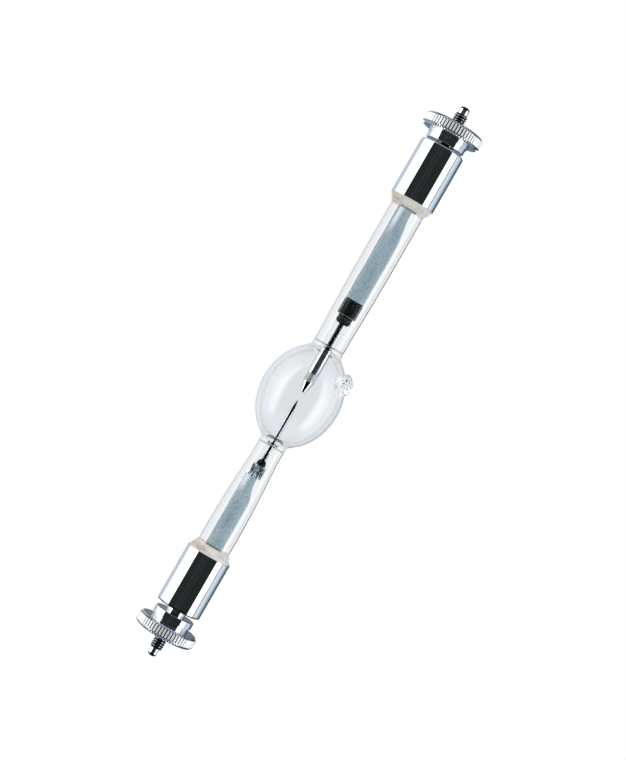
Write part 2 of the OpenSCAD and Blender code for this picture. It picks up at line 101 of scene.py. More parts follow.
FOIL_T, CRIMP_DEPTH, CRIMPS = 0.15, 0.24, 12
COLLAR, COLLAR_H = 0.35, 0.9             # what the crimped cup's collar stands out, its height
THREAD_PITCH, THREAD_DEPTH = 1.5, 0.85
STUD_R = 4.0
LOWER_STUD_LEN, UPPER_STUD_LEN = 25.9, 21.8
LOWER_PIN, UPPER_PIN = (2.55, 3.8), (2.9, 3.4)           # radius and length of plain tips
PIN_POINT_H = 1.4
STUD_HEAD_R, STUD_HEAD_T = 7.0, 2.5
CAP_R, CAP_LEN, CAP_WALL, CAP_END = 13.5, 35.6, 1.1, 3.0
BOSS_R, LOWER_BOSS_H, UPPER_BOSS_H = 5.6, 3.3, 1.4
LOWER_EDGE_R, UPPER_EDGE_R = 1.0, 1.7    # fillets at the caps' outer ends
CAP_SPAN = ends("upper_cap")[1] - UPPER_BOSS_H           # between the caps' end faces
CEMENT_DEPTH, CEMENT_SLOPE = 23.0, 4.9
BORE_R = STUD_R + 0.06                   # bore of the washers and nuts
LOWER_HUB, UPPER_HUB = (11.3, 2.8), (12.4, 2.3)          # radius and height of nuts' hubs
TOOTH_COUNT, TOOTH_DEPTH = 60, 0.8
TOOTH_TOP, TOOTH_FLOOR = 0.46, 0.18      # shares of half the pitch
TOOTH_STEPS = 12                         # points round the rim for each tooth
RIM_W, RIM_CHAMFER = 7.4, 1.5


# ---------------------------------------------------------------- shapes
def rounded(corners, steps=7):
    """A profile through corners (radius, level, fillet). At a corner with a fillet f, the
    profile leaves one side at the distance f and meets the other at the same distance, along
    corner + (1 - t)^2 before + t^2 after; one more point on each side keeps the flats flat."""
    spots = np.array([c[:2] for c in corners], float)
    t = np.linspace(0, 1, steps)[:, None]
    out = []
    for k, (here, fillet) in enumerate(zip(spots, [c[2] for c in corners])):
        if not fillet:
            out.append(here[None])
            continue
        before = spots[k - 1] - here
        after = spots[(k + 1) % len(spots)] - here
        before *= fillet / np.hypot(*before)
        after *= fillet / np.hypot(*after)
        out += [[here + 1.12 * before], here + before * (1 - t) ** 2 + after * t ** 2,
                [here + 1.12 * after]]
    return np.vstack(out)


def turned(profile, around=128):
    """Surface of revolution: each point (radius, level) of the profile goes once round the
    axis as (radius cos a, radius sin a, level), in equal steps of the angle a."""
    a = np.arange(around) * TURN / around
    r, z = np.asarray(profile, float)[:, :2].T[:, :, None]
    return np.stack([r * np.cos(a), r * np.sin(a), z + 0 * a], -1)


def shell(points, loop=False, inward=False):
    """Vertices and quads of a grid of points, rings by steps round: each quad joins two
    neighbours of one ring to the two above them. loop joins the last ring to the first, and
    inward turns the faces round."""
    rings, around = points.shape[:2]
    index = np.arange(rings * around).reshape(rings, around)
    here, up = index[:-1], index[1:]
    if loop:
        here, up = index, np.roll(index, -1, axis=0)
    quads = np.stack([here, np.roll(here, -1, 1), np.roll(up, -1, 1), up], -1).reshape(-1, 4)
    return points.reshape(-1, 3), quads[:, ::-1] if inward else quads


def mesh_of(name, shells, sharp=40):
    """One mesh from shells in millimetres. Rings that have shrunk to a point are merged, so
    that poles are closed, and edges steeper than sharp degrees stay crisp."""
    points, faces, start = [], [], 0
    for spots, quads in shells:
        points.append(spots * MM)
        faces.append(quads + start)
        start += len(spots)
    mesh = bpy.data.meshes.new(name)
    mesh.from_pydata(np.vstack(points).tolist(), [], np.vstack(faces).tolist())
    tidy = bmesh.new()
    tidy.from_mesh(mesh)
    bmesh.ops.remove_doubles(tidy, verts=tidy.verts, dist=2e-7)
    tidy.to_mesh(mesh)
    tidy.free()
    mesh.polygons.foreach_set("use_smooth", np.ones(len(mesh.polygons), bool))
    mesh.set_sharp_from_angle(angle=math.radians(sharp))
    mesh.update()
    return mesh


def make(name, shells, finish, slot, *nodes, body="root", sharp=40):
    """A piece of the lamp from its shells: it stands for the CAD nodes, which it hides, rides on
    their body and takes the finish it is given. The slot is not used."""
    piece = bpy.data.objects.new(name, mesh_of(name, shells, sharp))
    bpy.context.collection.objects.link(piece)
    piece.data.materials.append(finish)
    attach(piece, body)
    if nodes:
        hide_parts(*nodes)
    return piece


def wobble(a, z, seed, scale, count=7):
    """Smooth unevenness round and along the lamp, about -1 to 1: a sum of sines of the angle
    a and the level z, with whole numbers of waves round, waves about as long as scale along
    the lamp, and seeded phases."""
    draw = np.random.default_rng(seed)
    total = 0
    for _ in range(count):
        waves, pitch = draw.integers(1, 9), draw.uniform(0.6, 2) / scale
        phase = draw.uniform(0, TURN)
        total = total + np.sin(waves * a + pitch * z * TURN + phase)
    return total / count ** 0.5 / 1.4


# ---------------------------------------------------------------- quartz
def ellipse_r(r, h, s):
    """Half-width of an ellipse of semi-axes r and h at the distance s from its centre."""
    return r * np.sqrt(np.clip(1 - (s / h) ** 2, 0, 1))


def blended(a, b, sharpness):
    """The larger of two radii, with a fillet where they are alike: the root of the sum of
    their powers."""
    return (a ** sharpness + b ** sharpness) ** (1 / sharpness)


def quartz_r(z):
    """Outer radius of the quartz at the level z: the bulb's ellipse runs into each neck, a
    V-groove marks the fused line, and the shaft swells along a quarter of a sine wave."""
    s = np.abs(z - BULB_Z)
    upper = z > BULB_Z
    neck = np.where(upper, UPPER_NECK_R, LOWER_NECK_R)
    full = np.where(upper, UPPER_SHAFT_R, LOWER_SHAFT_R)
    swell = np.sin(np.pi / 2 * np.clip((s - FLARE_START) / (FLARE_END - FLARE_START), 0, 1))
    groove = NECK_LINE_DEPTH * np.clip(1 - np.abs(s - NECK_H) / (NECK_LINE_W / 2), 0, 1)
    return blended(ellipse_r(BULB_R, BULB_H, s), neck + (full - neck) * swell, NECK_BLEND) - groove


def bore_r(z):
    """Radius of the hollow at the level z: the bulb's inner ellipse runs into each throat,
    the lower one widened to a funnel, and a short step leads to the rod's bore."""
    s = np.abs(z - BULB_Z)
    upper = z > BULB_Z
    funnel = FUNNEL_SLOPE * np.clip(FUNNEL_END - s, 0, FUNNEL_DEPTH) * np.clip((s - 12) / 12, 0, 1)
    throat = np.where(upper, UPPER_THROAT_R, LOWER_THROAT_R + funnel)
    bore = np.where(upper, UPPER_BORE_R, LOWER_BORE_R)
    hollow = blended(ellipse_r(BULB_R - BULB_WALL, BULB_H - BULB_WALL, s), throat, THROAT_BLEND)
    step = np.clip((s - (NECK_H - THROAT_STEP)) / THROAT_STEP, 0, 1)
    return hollow + (bore - hollow) * step * step * (3 - 2 * step)


def levels(*spans):
    """Sorted levels from spans (low, high, step)."""
    return np.unique(np.round(np.concatenate([np.arange(*s) for s in spans]), 3))


def exhaust_tip():
    """Surface of the lumpy sealed tip: from a centre in its root, each direction reaches the
    blended largest of the distances to the far sides of five balls, with small ripples."""
    balls = [((0, 0, 4.4), LUMP_R), ((LUMP_R * 0.9, LUMP_R * 0.2, 2.6), LUMP_R * 0.9),
             ((-LUMP_R * 0.7, -LUMP_R * 0.3, 5.1), LUMP_R * 0.7), ((0, 0, -0.2), 5.2),
             ((2.6, 0.4, -0.6), 5.0)]
    polar, a = np.meshgrid(np.linspace(0, np.pi, 72), np.arange(112) * TURN / 112, indexing="ij")
    way = np.stack([np.sin(polar) * np.cos(a), np.sin(polar) * np.sin(a), -np.cos(polar)], -1)
    heart = np.array([0.2, 0, 2.6])
    reach = 0
    for centre, r in balls:
        gap = np.array(centre) - heart
        along = way @ gap
        far = along + np.sqrt(np.clip(along ** 2 - gap @ gap + r * r, 0, None))
        reach = reach + np.clip(far, 0, None) ** 10
    reach = reach ** (1 / 10) + 0.1 * np.sin(polar) * wobble(a, polar * 3, 5, 2)
    local = heart + way * reach[..., None]
    rise = math.pi / 2 - NUB_SLOPE
    x = local[..., 0] * math.cos(rise) + local[..., 2] * math.sin(rise) + float(
        ellipse_r(BULB_R, BULB_H, NUB_RISE))
    z = -local[..., 0] * math.sin(rise) + local[..., 2] * math.cos(rise) + BULB_Z + NUB_RISE
    c, s = math.cos(-NUB_TURN), math.sin(-NUB_TURN)
    y = local[..., 1]
    return np.stack([x * c - y * s, x * s + y * c, z], -1)


def quartz(finish):
    """The quartz as one piece: its outside and the exhaust tip as a union, and the hollow of
    the bulb with the rods' bores as an inner wall. The seals stand in solid quartz."""
    low, high = ends("quartz_envelope")
    fine_low, fine_high = FINE_SPANS[0][:2]
    z = levels((low, fine_low, 1.5), *FINE_SPANS, (fine_high, high, 1.5), (high, high + 0.01, 1))
    outside = np.column_stack([quartz_r(z), z])
    outside = np.vstack([[0, low], outside, [0, high]])
    piece = make("quartz_glass", [shell(turned(outside, 192))], finish, "clear_quartz",
                 "quartz_envelope", "upper_core", "lower_core")
    tip = bpy.data.objects.new("tip_tool", mesh_of("tip_tool", [shell(exhaust_tip())]))
    bpy.context.collection.objects.link(tip)
    join = piece.modifiers.new("tip", "BOOLEAN")
    join.operation, join.solver, join.object = "UNION", "EXACT", tip
    view = bpy.context.evaluated_depsgraph_get()
    whole = bpy.data.meshes.new_from_object(piece.evaluated_get(view), depsgraph=view)
    piece.modifiers.clear()
    bpy.data.objects.remove(tip)

    z = levels(*HOLLOW_SPANS)
    inside = np.vstack([[0, z[0]], np.column_stack([bore_r(z), z]), [0, z[-1]]])
    hollow = mesh_of("hollow", [shell(turned(inside, 144), inward=True)])
    both = bmesh.new()
    both.from_mesh(whole)
    both.from_mesh(hollow)
    both.to_mesh(piece.data)
    both.free()
    bpy.data.meshes.remove(hollow)
    bpy.data.meshes.remove(whole)
    piece.data.polygons.foreach_set("use_smooth", np.ones(len(piece.data.polygons), bool))
    piece.data.set_sharp_from_angle(angle=math.radians(50))
    return piece


# ---------------------------------------------------------------- electrodes and seals
def rod(r, low, high, edge=0.15):
    """Profile of a plain turned rod with broken edges."""
    return rounded([(0, low, 0), (r, low, edge), (r, high, edge), (0, high, 0)], 4)


def anode(finish):
    """Turned anode: a cone from its flat tip to the sunk ground band, the plain body, and a
    short shoulder at its back, as straight lines with rounded corners."""
    tip, back = ends("anode")
    cone, band, shoulder = tip + ANODE_CONE, tip + ANODE_CONE + ANODE_BAND, back - ANODE_SHOULDER
    profile = rounded([(0, tip, 0), (ANODE_TIP_R, tip, 0.3), (ANODE_BAND_R, cone, 0.3),
                       (ANODE_BAND_R, band, 0.03), (ANODE_R, band, 0.05),
                       (ANODE_R, shoulder, 0.5), (ANODE_BACK_R, back, 0.25), (0, back, 0)])
    make("anode_body", [shell(turned(profile))], finish, "polished_tungsten", "anode")


def cathode(finish):
    """A straight rod whose radius falls towards the point as (1 - t) to the power 0.8, to a
    tip of 0.1 mm."""
    low, tip = ends("cathode")
    t = np.linspace(0, 1, 25)
    point = np.column_stack([CATHODE_R * (1 - t) ** 0.8 + 0.1 * t,
                             tip - CATHODE_POINT * (1 - t)])
    profile = np.vstack([[0, low], [CATHODE_R, low], [CATHODE_R, tip - CATHODE_POINT - 0.3],
                         point, [0, tip + 0.03]])
    make("cathode_body", [shell(turned(profile, 64))], finish, "drawn_tungsten", "cathode")


def holders(finish):
    """The turned pieces that hold the rods. The upper one is rounded below by a quarter of an
    ellipse and has a V-groove, the plug is a rod with rounded edges, and the lower one's dome
    follows (cos a) to the power 0.8 across and sin a along the lamp."""
    low, high = ends("upper_holder")
    a = np.linspace(0, np.pi / 2, 12)
    r = UPPER_HOLDER_R
    dome = np.column_stack([r - DOME_IN * (1 - np.sin(a)), low + DOME_H * (1 - np.cos(a))])
    groove = low + GROOVE_UP
    profile = np.vstack([[0, low], dome, [r, groove - GROOVE_W / 2], [r - GROOVE_DEPTH, groove],
                         [r, groove + GROOVE_W / 2], [r, high], [0, high]])
    make("upper_holder_body", [shell(turned(profile, 96))], finish, "dark_molybdenum",
         "upper_holder")
    low, high = ends("upper_plug")
    profile = rounded([(0, low, 0), (PLUG_R, low, 0.35), (PLUG_R, high, 1.1), (0, high, 0)])
    make("upper_plug_body", [shell(turned(profile, 96))], finish, "dark_molybdenum", "upper_plug")
    low, high = ends("lower_holder")
    a = np.linspace(0, math.radians(78), 16)
    r = LOWER_HOLDER_R
    side = low + LOWER_SIDE_H
    dome = np.column_stack([(r - 0.05) * np.cos(a) ** 0.8,
                            side + (high - side) * np.sin(a) / np.sin(a[-1])])
    profile = np.vstack([[0, low], [r, low], [r + 0.05, low + 0.3], dome, [0, high]])
    make("lower_holder_body", [shell(turned(profile, 96))], finish, "dark_molybdenum",
         "lower_holder")


def rolled_sheet(r, low, high, seed, drawn, length, ragged=0.0, around=144):
    """A sheet rolled round a core, open at a seam at the back: its outer side runs from one
    edge of the seam round to the other and the inner side back, and the ends close to a thin
    edge. The radius ripples a little. Towards the upper end the sheet is drawn in along a
    smooth step, by a share of its own on the left and on the right, and ragged moves the
    lower end's level up and down."""
    half = around // 2
    gap = 0.25 / r
    a = np.linspace(np.pi / 2 + gap, np.pi / 2 + TURN - gap, half)
    a = np.concatenate([a, a[::-1]])
    wall = np.repeat([0, FOIL_T], half)
    z = np.concatenate([[low], np.linspace(low + 0.05, high - 0.05, 110), [high]])[:, None]
    t = np.clip((z - (high - length)) / length, 0, 1)
    left, right = drawn
    side = np.where(np.cos(a) < 0, left, right) * np.abs(np.cos(a)) ** 1.5
    shrink = 1 - side * t * t * (3 - 2 * t)
    wall = np.broadcast_to(wall, shrink.shape).copy()
    wall[[0, -1]] = FOIL_T / 2
    grid_r = (r - wall) * shrink - 0.03 * (1 + wobble(a, z, seed, 30))
    level = z + ragged * (1 - np.clip((z - low) / 3, 0, 1)) * (
        0.5 + 0.5 * wobble(4 * a, 0, seed + 1, 1))
    return np.stack([grid_r * np.cos(a), grid_r * np.sin(a), level], -1)


def foils(finish):
    """The two rolled foils, each drawn in on its right side by half or more near its upper
    end; the lower one's lower end is a little ragged."""
    low, high = ends("upper_foil")
    sheet = rolled_sheet(radius("upper_foil"), low, high, 3, (0.0, 0.5), 26)
    make("upper_foil_sheet", [shell(sheet)], finish, "molybdenum_foil", "upper_foil")
    low, high = ends("lower_foil")
    sheet = rolled_sheet(radius("lower_foil"), low, high, 4, (0.0, 0.8), 17, ragged=0.5)
    make("lower_foil_sheet", [shell(sheet)], finish, "molybdenum_foil", "lower_foil")


def crimped_cup(finish):
    """Cup whose radius waves twelve times round with a cosine; the crimps fade towards its ends
    along half a sine wave, and its top is turned over to a small collar."""
    low, high = ends("lower_cup")
    r = radius("lower_cup")
    z = np.linspace(low + 0.02, high - 0.02, 40)
    a = np.arange(216) * TURN / 216
    depth = CRIMP_DEPTH * (0.4 + 0.6 * np.sin(np.pi * (z - low) / (high - low)))[:, None]
    rim = COLLAR * np.clip(1 - np.abs(z - (high - 0.5)) / COLLAR_H, 0, 1)[:, None]
    outer = r - 0.15 - depth * (1 - np.cos(CRIMPS * a)) + rim - 0.2 * wobble(a, z[:, None], 8, 5)
    outer = np.minimum(outer, r)
    grid = np.stack([outer * np.cos(a), outer * np.sin(a), z[:, None] + 0 * outer], -1)
    bottom = np.zeros((1, 216, 3))
    bottom[..., 2] = z[0]
    top = np.zeros((1, 216, 3))
    top[..., 2] = z[-1]
    make("lower_cup_body", [shell(np.concatenate([bottom, grid, top]))], finish,
         "molybdenum_foil", "lower_cup", sharp=60)


# ---------------------------------------------------------------- caps, studs and nuts
def flipped(profile, level):
    """A profile drawn for the lower end, placed at the upper end: mirrored about the lamp's
    middle, in the order that keeps its faces outwards."""
    return np.column_stack([profile[:, 0], level - profile[:, 1]])[::-1]


def cap_profile(boss_h, corner):
    """Section of the lower cap as a loop: bore, boss, end face, side, mouth and inner wall."""
    inner = CAP_R - CAP_WALL
    return rounded([(STUD_R, -boss_h, 0.05), (BOSS_R, -boss_h, 0.25), (BOSS_R, 0, 0.08),
                    (CAP_R, 0, corner), (CAP_R, CAP_LEN, 0.25), (inner, CAP_LEN, 0.1),
                    (inner, CAP_END, 0.3), (STUD_R, CAP_END, 0.1)])


def cement_grid(shaft_r, seed):
    """Cement in the cap's mouth, spread over its rim and sloping straight to the quartz. Waves
    round the lamp lower the slope by up to half a millimetre and press it in by up to 2 %."""
    inner, quartz_side = CAP_R - CAP_WALL, shaft_r - 0.08
    t = np.linspace(0, 1, 16)
    rim, floor = CAP_R - 0.3, CAP_LEN - CEMENT_DEPTH
    slope = np.column_stack([rim + (shaft_r + 0.3 - rim) * t, CAP_LEN + 0.3 + CEMENT_SLOPE * t])
    profile = np.vstack([[quartz_side, floor], [inner, floor], [inner, CAP_LEN + 0.02],
                         [rim, CAP_LEN + 0.02], [rim + 0.05, CAP_LEN + 0.15], slope,
                         [quartz_side, CAP_LEN + CEMENT_SLOPE + 0.4]])
    grid = turned(profile, 160)
    a = np.arctan2(grid[..., 1], grid[..., 0])
    lift = np.clip((grid[..., 2] - CAP_LEN) / 1.2, 0, 1)
    grid[..., 2] -= lift * (0.22 + 0.22 * wobble(a, 0, seed, 1))
    press = 1 - lift * 0.01 * (1 + wobble(a, grid[..., 2], seed + 1, 4))
    grid[..., :2] *= press[..., None]
    return grid


def stud_grid(length, tip_r, tip_len, around=96):
    """Threaded stud drawn downwards from its head: the thread's ridge has a rounded V section
    whose crest climbs one pitch a turn, right-handed; it fades in at the cap and is cut by a
    chamfer at its end. The tip is a plain pin with an elliptical crown."""
    a = np.arange(around) * TURN / around
    z = np.arange(-length, 0.001, 0.1)[:, None]
    phase = (z / THREAD_PITCH - a / TURN) % 1
    ridge = np.abs(2 * phase - 1) ** 1.2
    fade = np.clip((-z - 0.2) / 1.2, 0, 1)
    thread = STUD_R - THREAD_DEPTH * (1 - ridge) * fade
    thread = np.minimum(thread, STUD_R - 0.75 + (z + length) * 1.2)
    rings = np.stack([thread * np.cos(a), thread * np.sin(a), z + 0 * a], -1)
    t = np.linspace(0, 1, 14)
    crown = np.column_stack([tip_r * np.sin(np.pi / 2 * t),
                             -length - tip_len - PIN_POINT_H * np.cos(np.pi / 2 * t)])
    pin = np.vstack([crown, [[tip_r, -length - tip_len + 0.2], [tip_r, -length - 0.1],
                             [tip_r + 0.1, -length]]])
    back = CAP_END + STUD_HEAD_T
    head = [[STUD_R, CAP_END], [STUD_HEAD_R, CAP_END], [STUD_HEAD_R, back], [0, back]]
    return np.concatenate([turned(pin, around), rings, turned(head, around)])


def mirrored(grid, level):
    """A grid drawn for the lower end, turned over for the upper end: x stays, and y and z
    change sign, which keeps a right-hand thread right-handed."""
    return grid * np.array([1, -1, -1]) + np.array([0, 0, level])


def nut_grid(hub_r, hub_h, low_z):
    """Knurled nut as one closed loop of rings. Round the rim the radius falls from the flat
    top of each tooth to the floor of the groove along a smooth step; the rim's chamfers cut
    the teeth off, so the smaller of the two radii counts."""
    r, c = radius("upper_nut"), RIM_CHAMFER
    low, high = low_z, low_z + RIM_W
    top = high + hub_h
    profile = rounded([
        (BORE_R, low + 0.6, 0.05), (BORE_R + 0.6, low, 0.05), (r - c, low, 0.25),
        (r, low + c, 0.12), (r, high - c, 0.12), (r - c, high, 0.2), (hub_r, high, 0.08),
        (hub_r, top, 0.04), (BORE_R + 0.6, top, 0.05), (BORE_R, top - 0.6, 0.05)], 5)
    around = TOOTH_COUNT * TOOTH_STEPS
    a = np.arange(around) / TOOTH_STEPS % 1
    away = np.abs(a - np.round(a)) * 2
    t = np.clip((away - TOOTH_TOP) / (1 - TOOTH_TOP - TOOTH_FLOOR), 0, 1)
    teeth = r - TOOTH_DEPTH * t * t * (3 - 2 * t)
    grid = turned(profile, around)
    wide = profile[:, :1]
    size = np.where(wide > hub_r + 0.5, np.minimum(wide, teeth), wide)
    grid[..., :2] *= (size / wide)[..., None]
    return grid


def washer_profile(r, low, high, round_top):
    """Section of a washer as a loop, with its well rounded edge on the cap's side."""
    small, large = 0.05, 0.7
    a, b = (small, large) if round_top else (large, small)
    return rounded([(BORE_R, low, 0.15), (r, low, a), (r, high, b), (BORE_R, high, 0.15)], 9)


# ---------------------------------------------------------------- finishes
def linear(code):
    """Linear red, green, blue and alpha of an sRGB hex colour."""
    parts = [int(code[k:k + 2], 16) / 255 for k in (1, 3, 5)]
    return (*[p / 12.92 if p <= 0.04045 else ((p + 0.055) / 1.055) ** 2.4 for p in parts], 1)


def add(tree, kind, inputs=None, stops=(), **settings):
    """Adds a node of that kind with its settings. inputs gives each socket a value, a hex
    colour, or the socket or node that it is linked to, where a node stands for its first live
    output. stops are the places and hex colours of a colour ramp."""
    new = tree.nodes.new("ShaderNode" + kind)
    for key, value in settings.items():
        setattr(new, key, value)
    for key, value in (inputs or {}).items():
        if isinstance(value, bpy.types.Node):
            value = next(out for out in value.outputs if out.enabled)
        if isinstance(value, bpy.types.NodeSocket):
            tree.links.new(value, new.inputs[key])
        else:
            new.inputs[key].default_value = linear(value) if isinstance(value, str) else value
    for k, (place, code) in enumerate(stops):
        marks = new.color_ramp.elements
        mark = marks[k] if k < 2 else marks.new(place)
        mark.position, mark.color = place, linear(code)
    return new


def emptied(owner):
    """The node tree of a new material or world, without its first nodes."""
    owner.use_nodes = True
    owner.node_tree.nodes.clear()
    return owner.node_tree


def new_finish(name):
    """A new material, its tree, and the object coordinates that its patterns read."""
    made = bpy.data.materials.new(name)
    tree = emptied(made)
    return made, tree, add(tree, "TexCoord").outputs["Object"]


# Turning marks, drawing lines, foil grain and sand are really about a tenth of a millimetre
# wide. At 0.57 mm a pixel that wouldn't show, so they are drawn two to six times as wide.
def per_mm(x, y, z):
    """Scale at which a pattern repeats every x, y and z millimetres."""
    return 1 / (x * MM), 1 / (y * MM), 1 / (z * MM)


def off_axis(tree, axes):
    """Position across the lamp's axis, and its length, which is the distance from the axis."""
    flat = add(tree, "CombineXYZ", {0: axes["X"], 1: axes["Y"]})
    return flat, add(tree, "VectorMath", {0: flat}, operation="LENGTH")


def off_level(tree, axes, level):
    """Distance along the lamp's axis from a level in millimetres."""
    away = add(tree, "Math", {0: axes["Z"], 1: level * MM}, operation="SUBTRACT")
    return add(tree, "Math", {0: away}, operation="ABSOLUTE")


def flame_polished_quartz():
    """Fused quartz, drawn and blown in the flame: clear and colourless, greyer where the blown
    bulb's wall is seen, smooth, with faint streaks along the drawn shafts. The fused lines at
    the necks are warm grey, and the tip is milky with dark seeds, as its gas was driven out
    there. Light that the quartz has turned back four times, or that has met twelve surfaces,
    would end black in the render: there the surface is a plain pale glow instead."""
    made, tree, place = new_finish("flame_polished_quartz")
    axes = add(tree, "SeparateXYZ", {0: place}).outputs
    away = off_level(tree, axes, BULB_Z)
    neck = add(tree, "MapRange", {"Value": away, "From Min": 26 * MM, "From Max": 34 * MM})
    tint = add(tree, "ValToRGB", {0: neck}, [(0, "#F4F6F8"), (1, "#FAFBFC")])
    seam = add(tree, "Math", {0: away, 1: NECK_H * MM, 2: 0.32 * MM}, operation="COMPARE")
    tint = add(tree, "Mix", {0: seam, 6: tint, 7: "#9A9184"}, data_type="RGBA")
    far = add(tree, "VectorMath", {0: place, 1: [c * MM for c in TIP_HEART]},
              operation="DISTANCE")
    milky = add(tree, "MapRange", {"Value": far, "From Min": 7 * MM, "From Max": 5 * MM},
                interpolation_type="SMOOTHSTEP")
    seeds = add(tree, "TexNoise", {
        "Vector": add(tree, "Mapping", {"Vector": place, "Scale": per_mm(1.1, 1.1, 1.1)}),
        "Scale": 1.0, "Detail": 1.0})
    cloud = add(tree, "ValToRGB", {0: seeds}, [(0.3, "#4B5255"), (0.36, "#FCFDFE")])
    tint = add(tree, "Mix", {0: milky, 6: tint, 7: cloud}, data_type="RGBA")
    clear = add(tree, "MapRange", {"Value": milky, "To Min": 1.0, "To Max": 0.45})
    streaks = add(tree, "TexNoise", {
        "Vector": add(tree, "Mapping", {"Vector": place, "Scale": per_mm(3, 3, 60)}),
        "Scale": 1.0, "Detail": 2.0})
    relief = add(tree, "Bump", {"Strength": 0.5, "Distance": 0.02 * MM, "Height": streaks})
    seen = add(tree, "LightPath").outputs
    trapped = add(tree, "Math", {0: seen["Glossy Depth"], 1: 3.5}, operation="GREATER_THAN")
    deep = add(tree, "Math", {0: seen["Ray Depth"], 1: 11.5}, operation="GREATER_THAN")
    lost = add(tree, "Math", {0: trapped, 1: deep}, operation="MAXIMUM")
    glow = add(tree, "Math", {0: lost, 1: 0.78}, operation="MULTIPLY")
    tint = add(tree, "Mix", {0: lost, 6: tint, 7: "#000000"}, data_type="RGBA")
    add(tree, "OutputMaterial", {0: add(tree, "BsdfPrincipled", {
        "Base Color": tint, "Metallic": lost, "Roughness": 0.0, "IOR": 1.46,
        "Transmission Weight": clear, "Emission Color": "#F2F4F6", "Emission Strength": glow,
        "Normal": relief})})
    return made


def mirror_plate(name, colour, rough, marks_mm, painted_shade_ends=False):
    """Bright nickel plate over turned brass: a cool white mirror that keeps faint turning marks
    and, over a few millimetres, the slight unevenness of the metal under it. On the caps the
    upper boss and the lower end's edge are darkened to grey as painted shade."""
    made, tree, place = new_finish(name)
    swell = add(tree, "TexNoise", {
        "Vector": add(tree, "Mapping", {"Vector": place, "Scale": per_mm(9, 9, 14)}),
        "Scale": 1.0, "Detail": 2.0})
    grain = add(tree, "TexNoise", {
        "Vector": add(tree, "Mapping", {"Vector": place, "Scale": per_mm(4, 4, marks_mm)}),
        "Scale": 1.0, "Detail": 2.0})
    height = add(tree, "Mix", {0: 0.12, 2: swell, 3: grain}, data_type="FLOAT")
    relief = add(tree, "Bump", {"Strength": 0.6, "Distance": 0.02 * MM, "Height": height})
    gloss = add(tree, "MapRange", {
        "Value": grain, "To Min": rough * 0.6, "To Max": rough * 1.6})
    if painted_shade_ends:
        # Painted shade: the upper boss, deep in the gap under the washer, and the lower end's edge
        # are mixed towards dark grey.
        level = add(tree, "SeparateXYZ", {0: place}).outputs["Z"]
        boss = add(tree, "Math", {0: level, 1: (CAP_SPAN + 0.1) * MM}, operation="GREATER_THAN")
        edge = add(tree, "Math", {0: level, 1: 0.25 * MM, 2: 0.75 * MM}, operation="COMPARE")
        painted_end_shade = add(tree, "Math", {0: boss, 1: edge}, operation="MAXIMUM")
        colour = add(tree, "Mix", {0: painted_end_shade, 6: colour, 7: "#50585F"}, data_type="RGBA")
    add(tree, "OutputMaterial", {0: add(tree, "BsdfPrincipled", {
        "Base Color": colour, "Metallic": 1.0, "Roughness": gloss, "Normal": relief})})
    return made


def threaded_plate():
    """Nickel plate on a cut thread and its plain pin: bright crests, painted shade that darkens
    the grooves towards their floor, and painted shade that turns the pin's crown dark grey."""
    made, tree, place = new_finish("nickel_on_threads")
    axes = add(tree, "SeparateXYZ", {0: place}).outputs
    out = off_axis(tree, axes)[1]
    depth = add(tree, "MapRange", {
        "Value": out, "From Min": (STUD_R - THREAD_DEPTH) * MM, "From Max": STUD_R * MM,
        "To Min": 0.2})
    pin = add(tree, "Math", {0: out, 1: (STUD_R - THREAD_DEPTH - 0.1) * MM},
              operation="LESS_THAN")
    height = add(tree, "Math", {0: depth, 1: pin}, operation="MAXIMUM")
    # Painted shade: the colour runs from near black at the grooves' floor to pale at the crests,
    # by distance from the axis; the pin counts as crest.
    colour = add(tree, "ValToRGB", {0: height}, [
        (0.25, "#14181B"), (0.6, "#6F777D"), (0.9, "#E2E6EA")])
    low, high = ends("lower_stud")[0], ends("upper_stud")[1]
    reach = (high - low) / 2
    # Painted shade: the crown at each end of the studs is mixed to dark grey.
    crown = add(tree, "MapRange", {
        "Value": off_level(tree, axes, (low + high) / 2), "From Min": (reach - 1.9) * MM,
        "From Max": (reach - 1.5) * MM})
    colour = add(tree, "Mix", {0: crown, 6: colour, 7: "#2A2E31"}, data_type="RGBA")
    grain = add(tree, "TexNoise", {
        "Vector": add(tree, "Mapping", {"Vector": place, "Scale": per_mm(2, 2, 0.3)}),
        "Scale": 1.0, "Detail": 2.0})
    rough = add(tree, "MapRange", {"Value": grain, "To Min": 0.1, "To Max": 0.25})
    relief = add(tree, "Bump", {"Strength": 0.4, "Distance": 0.01 * MM, "Height": grain})
    add(tree, "OutputMaterial", {0: add(tree, "BsdfPrincipled", {
        "Base Color": colour, "Metallic": 1.0, "Roughness": rough, "Normal": relief})})
    return made


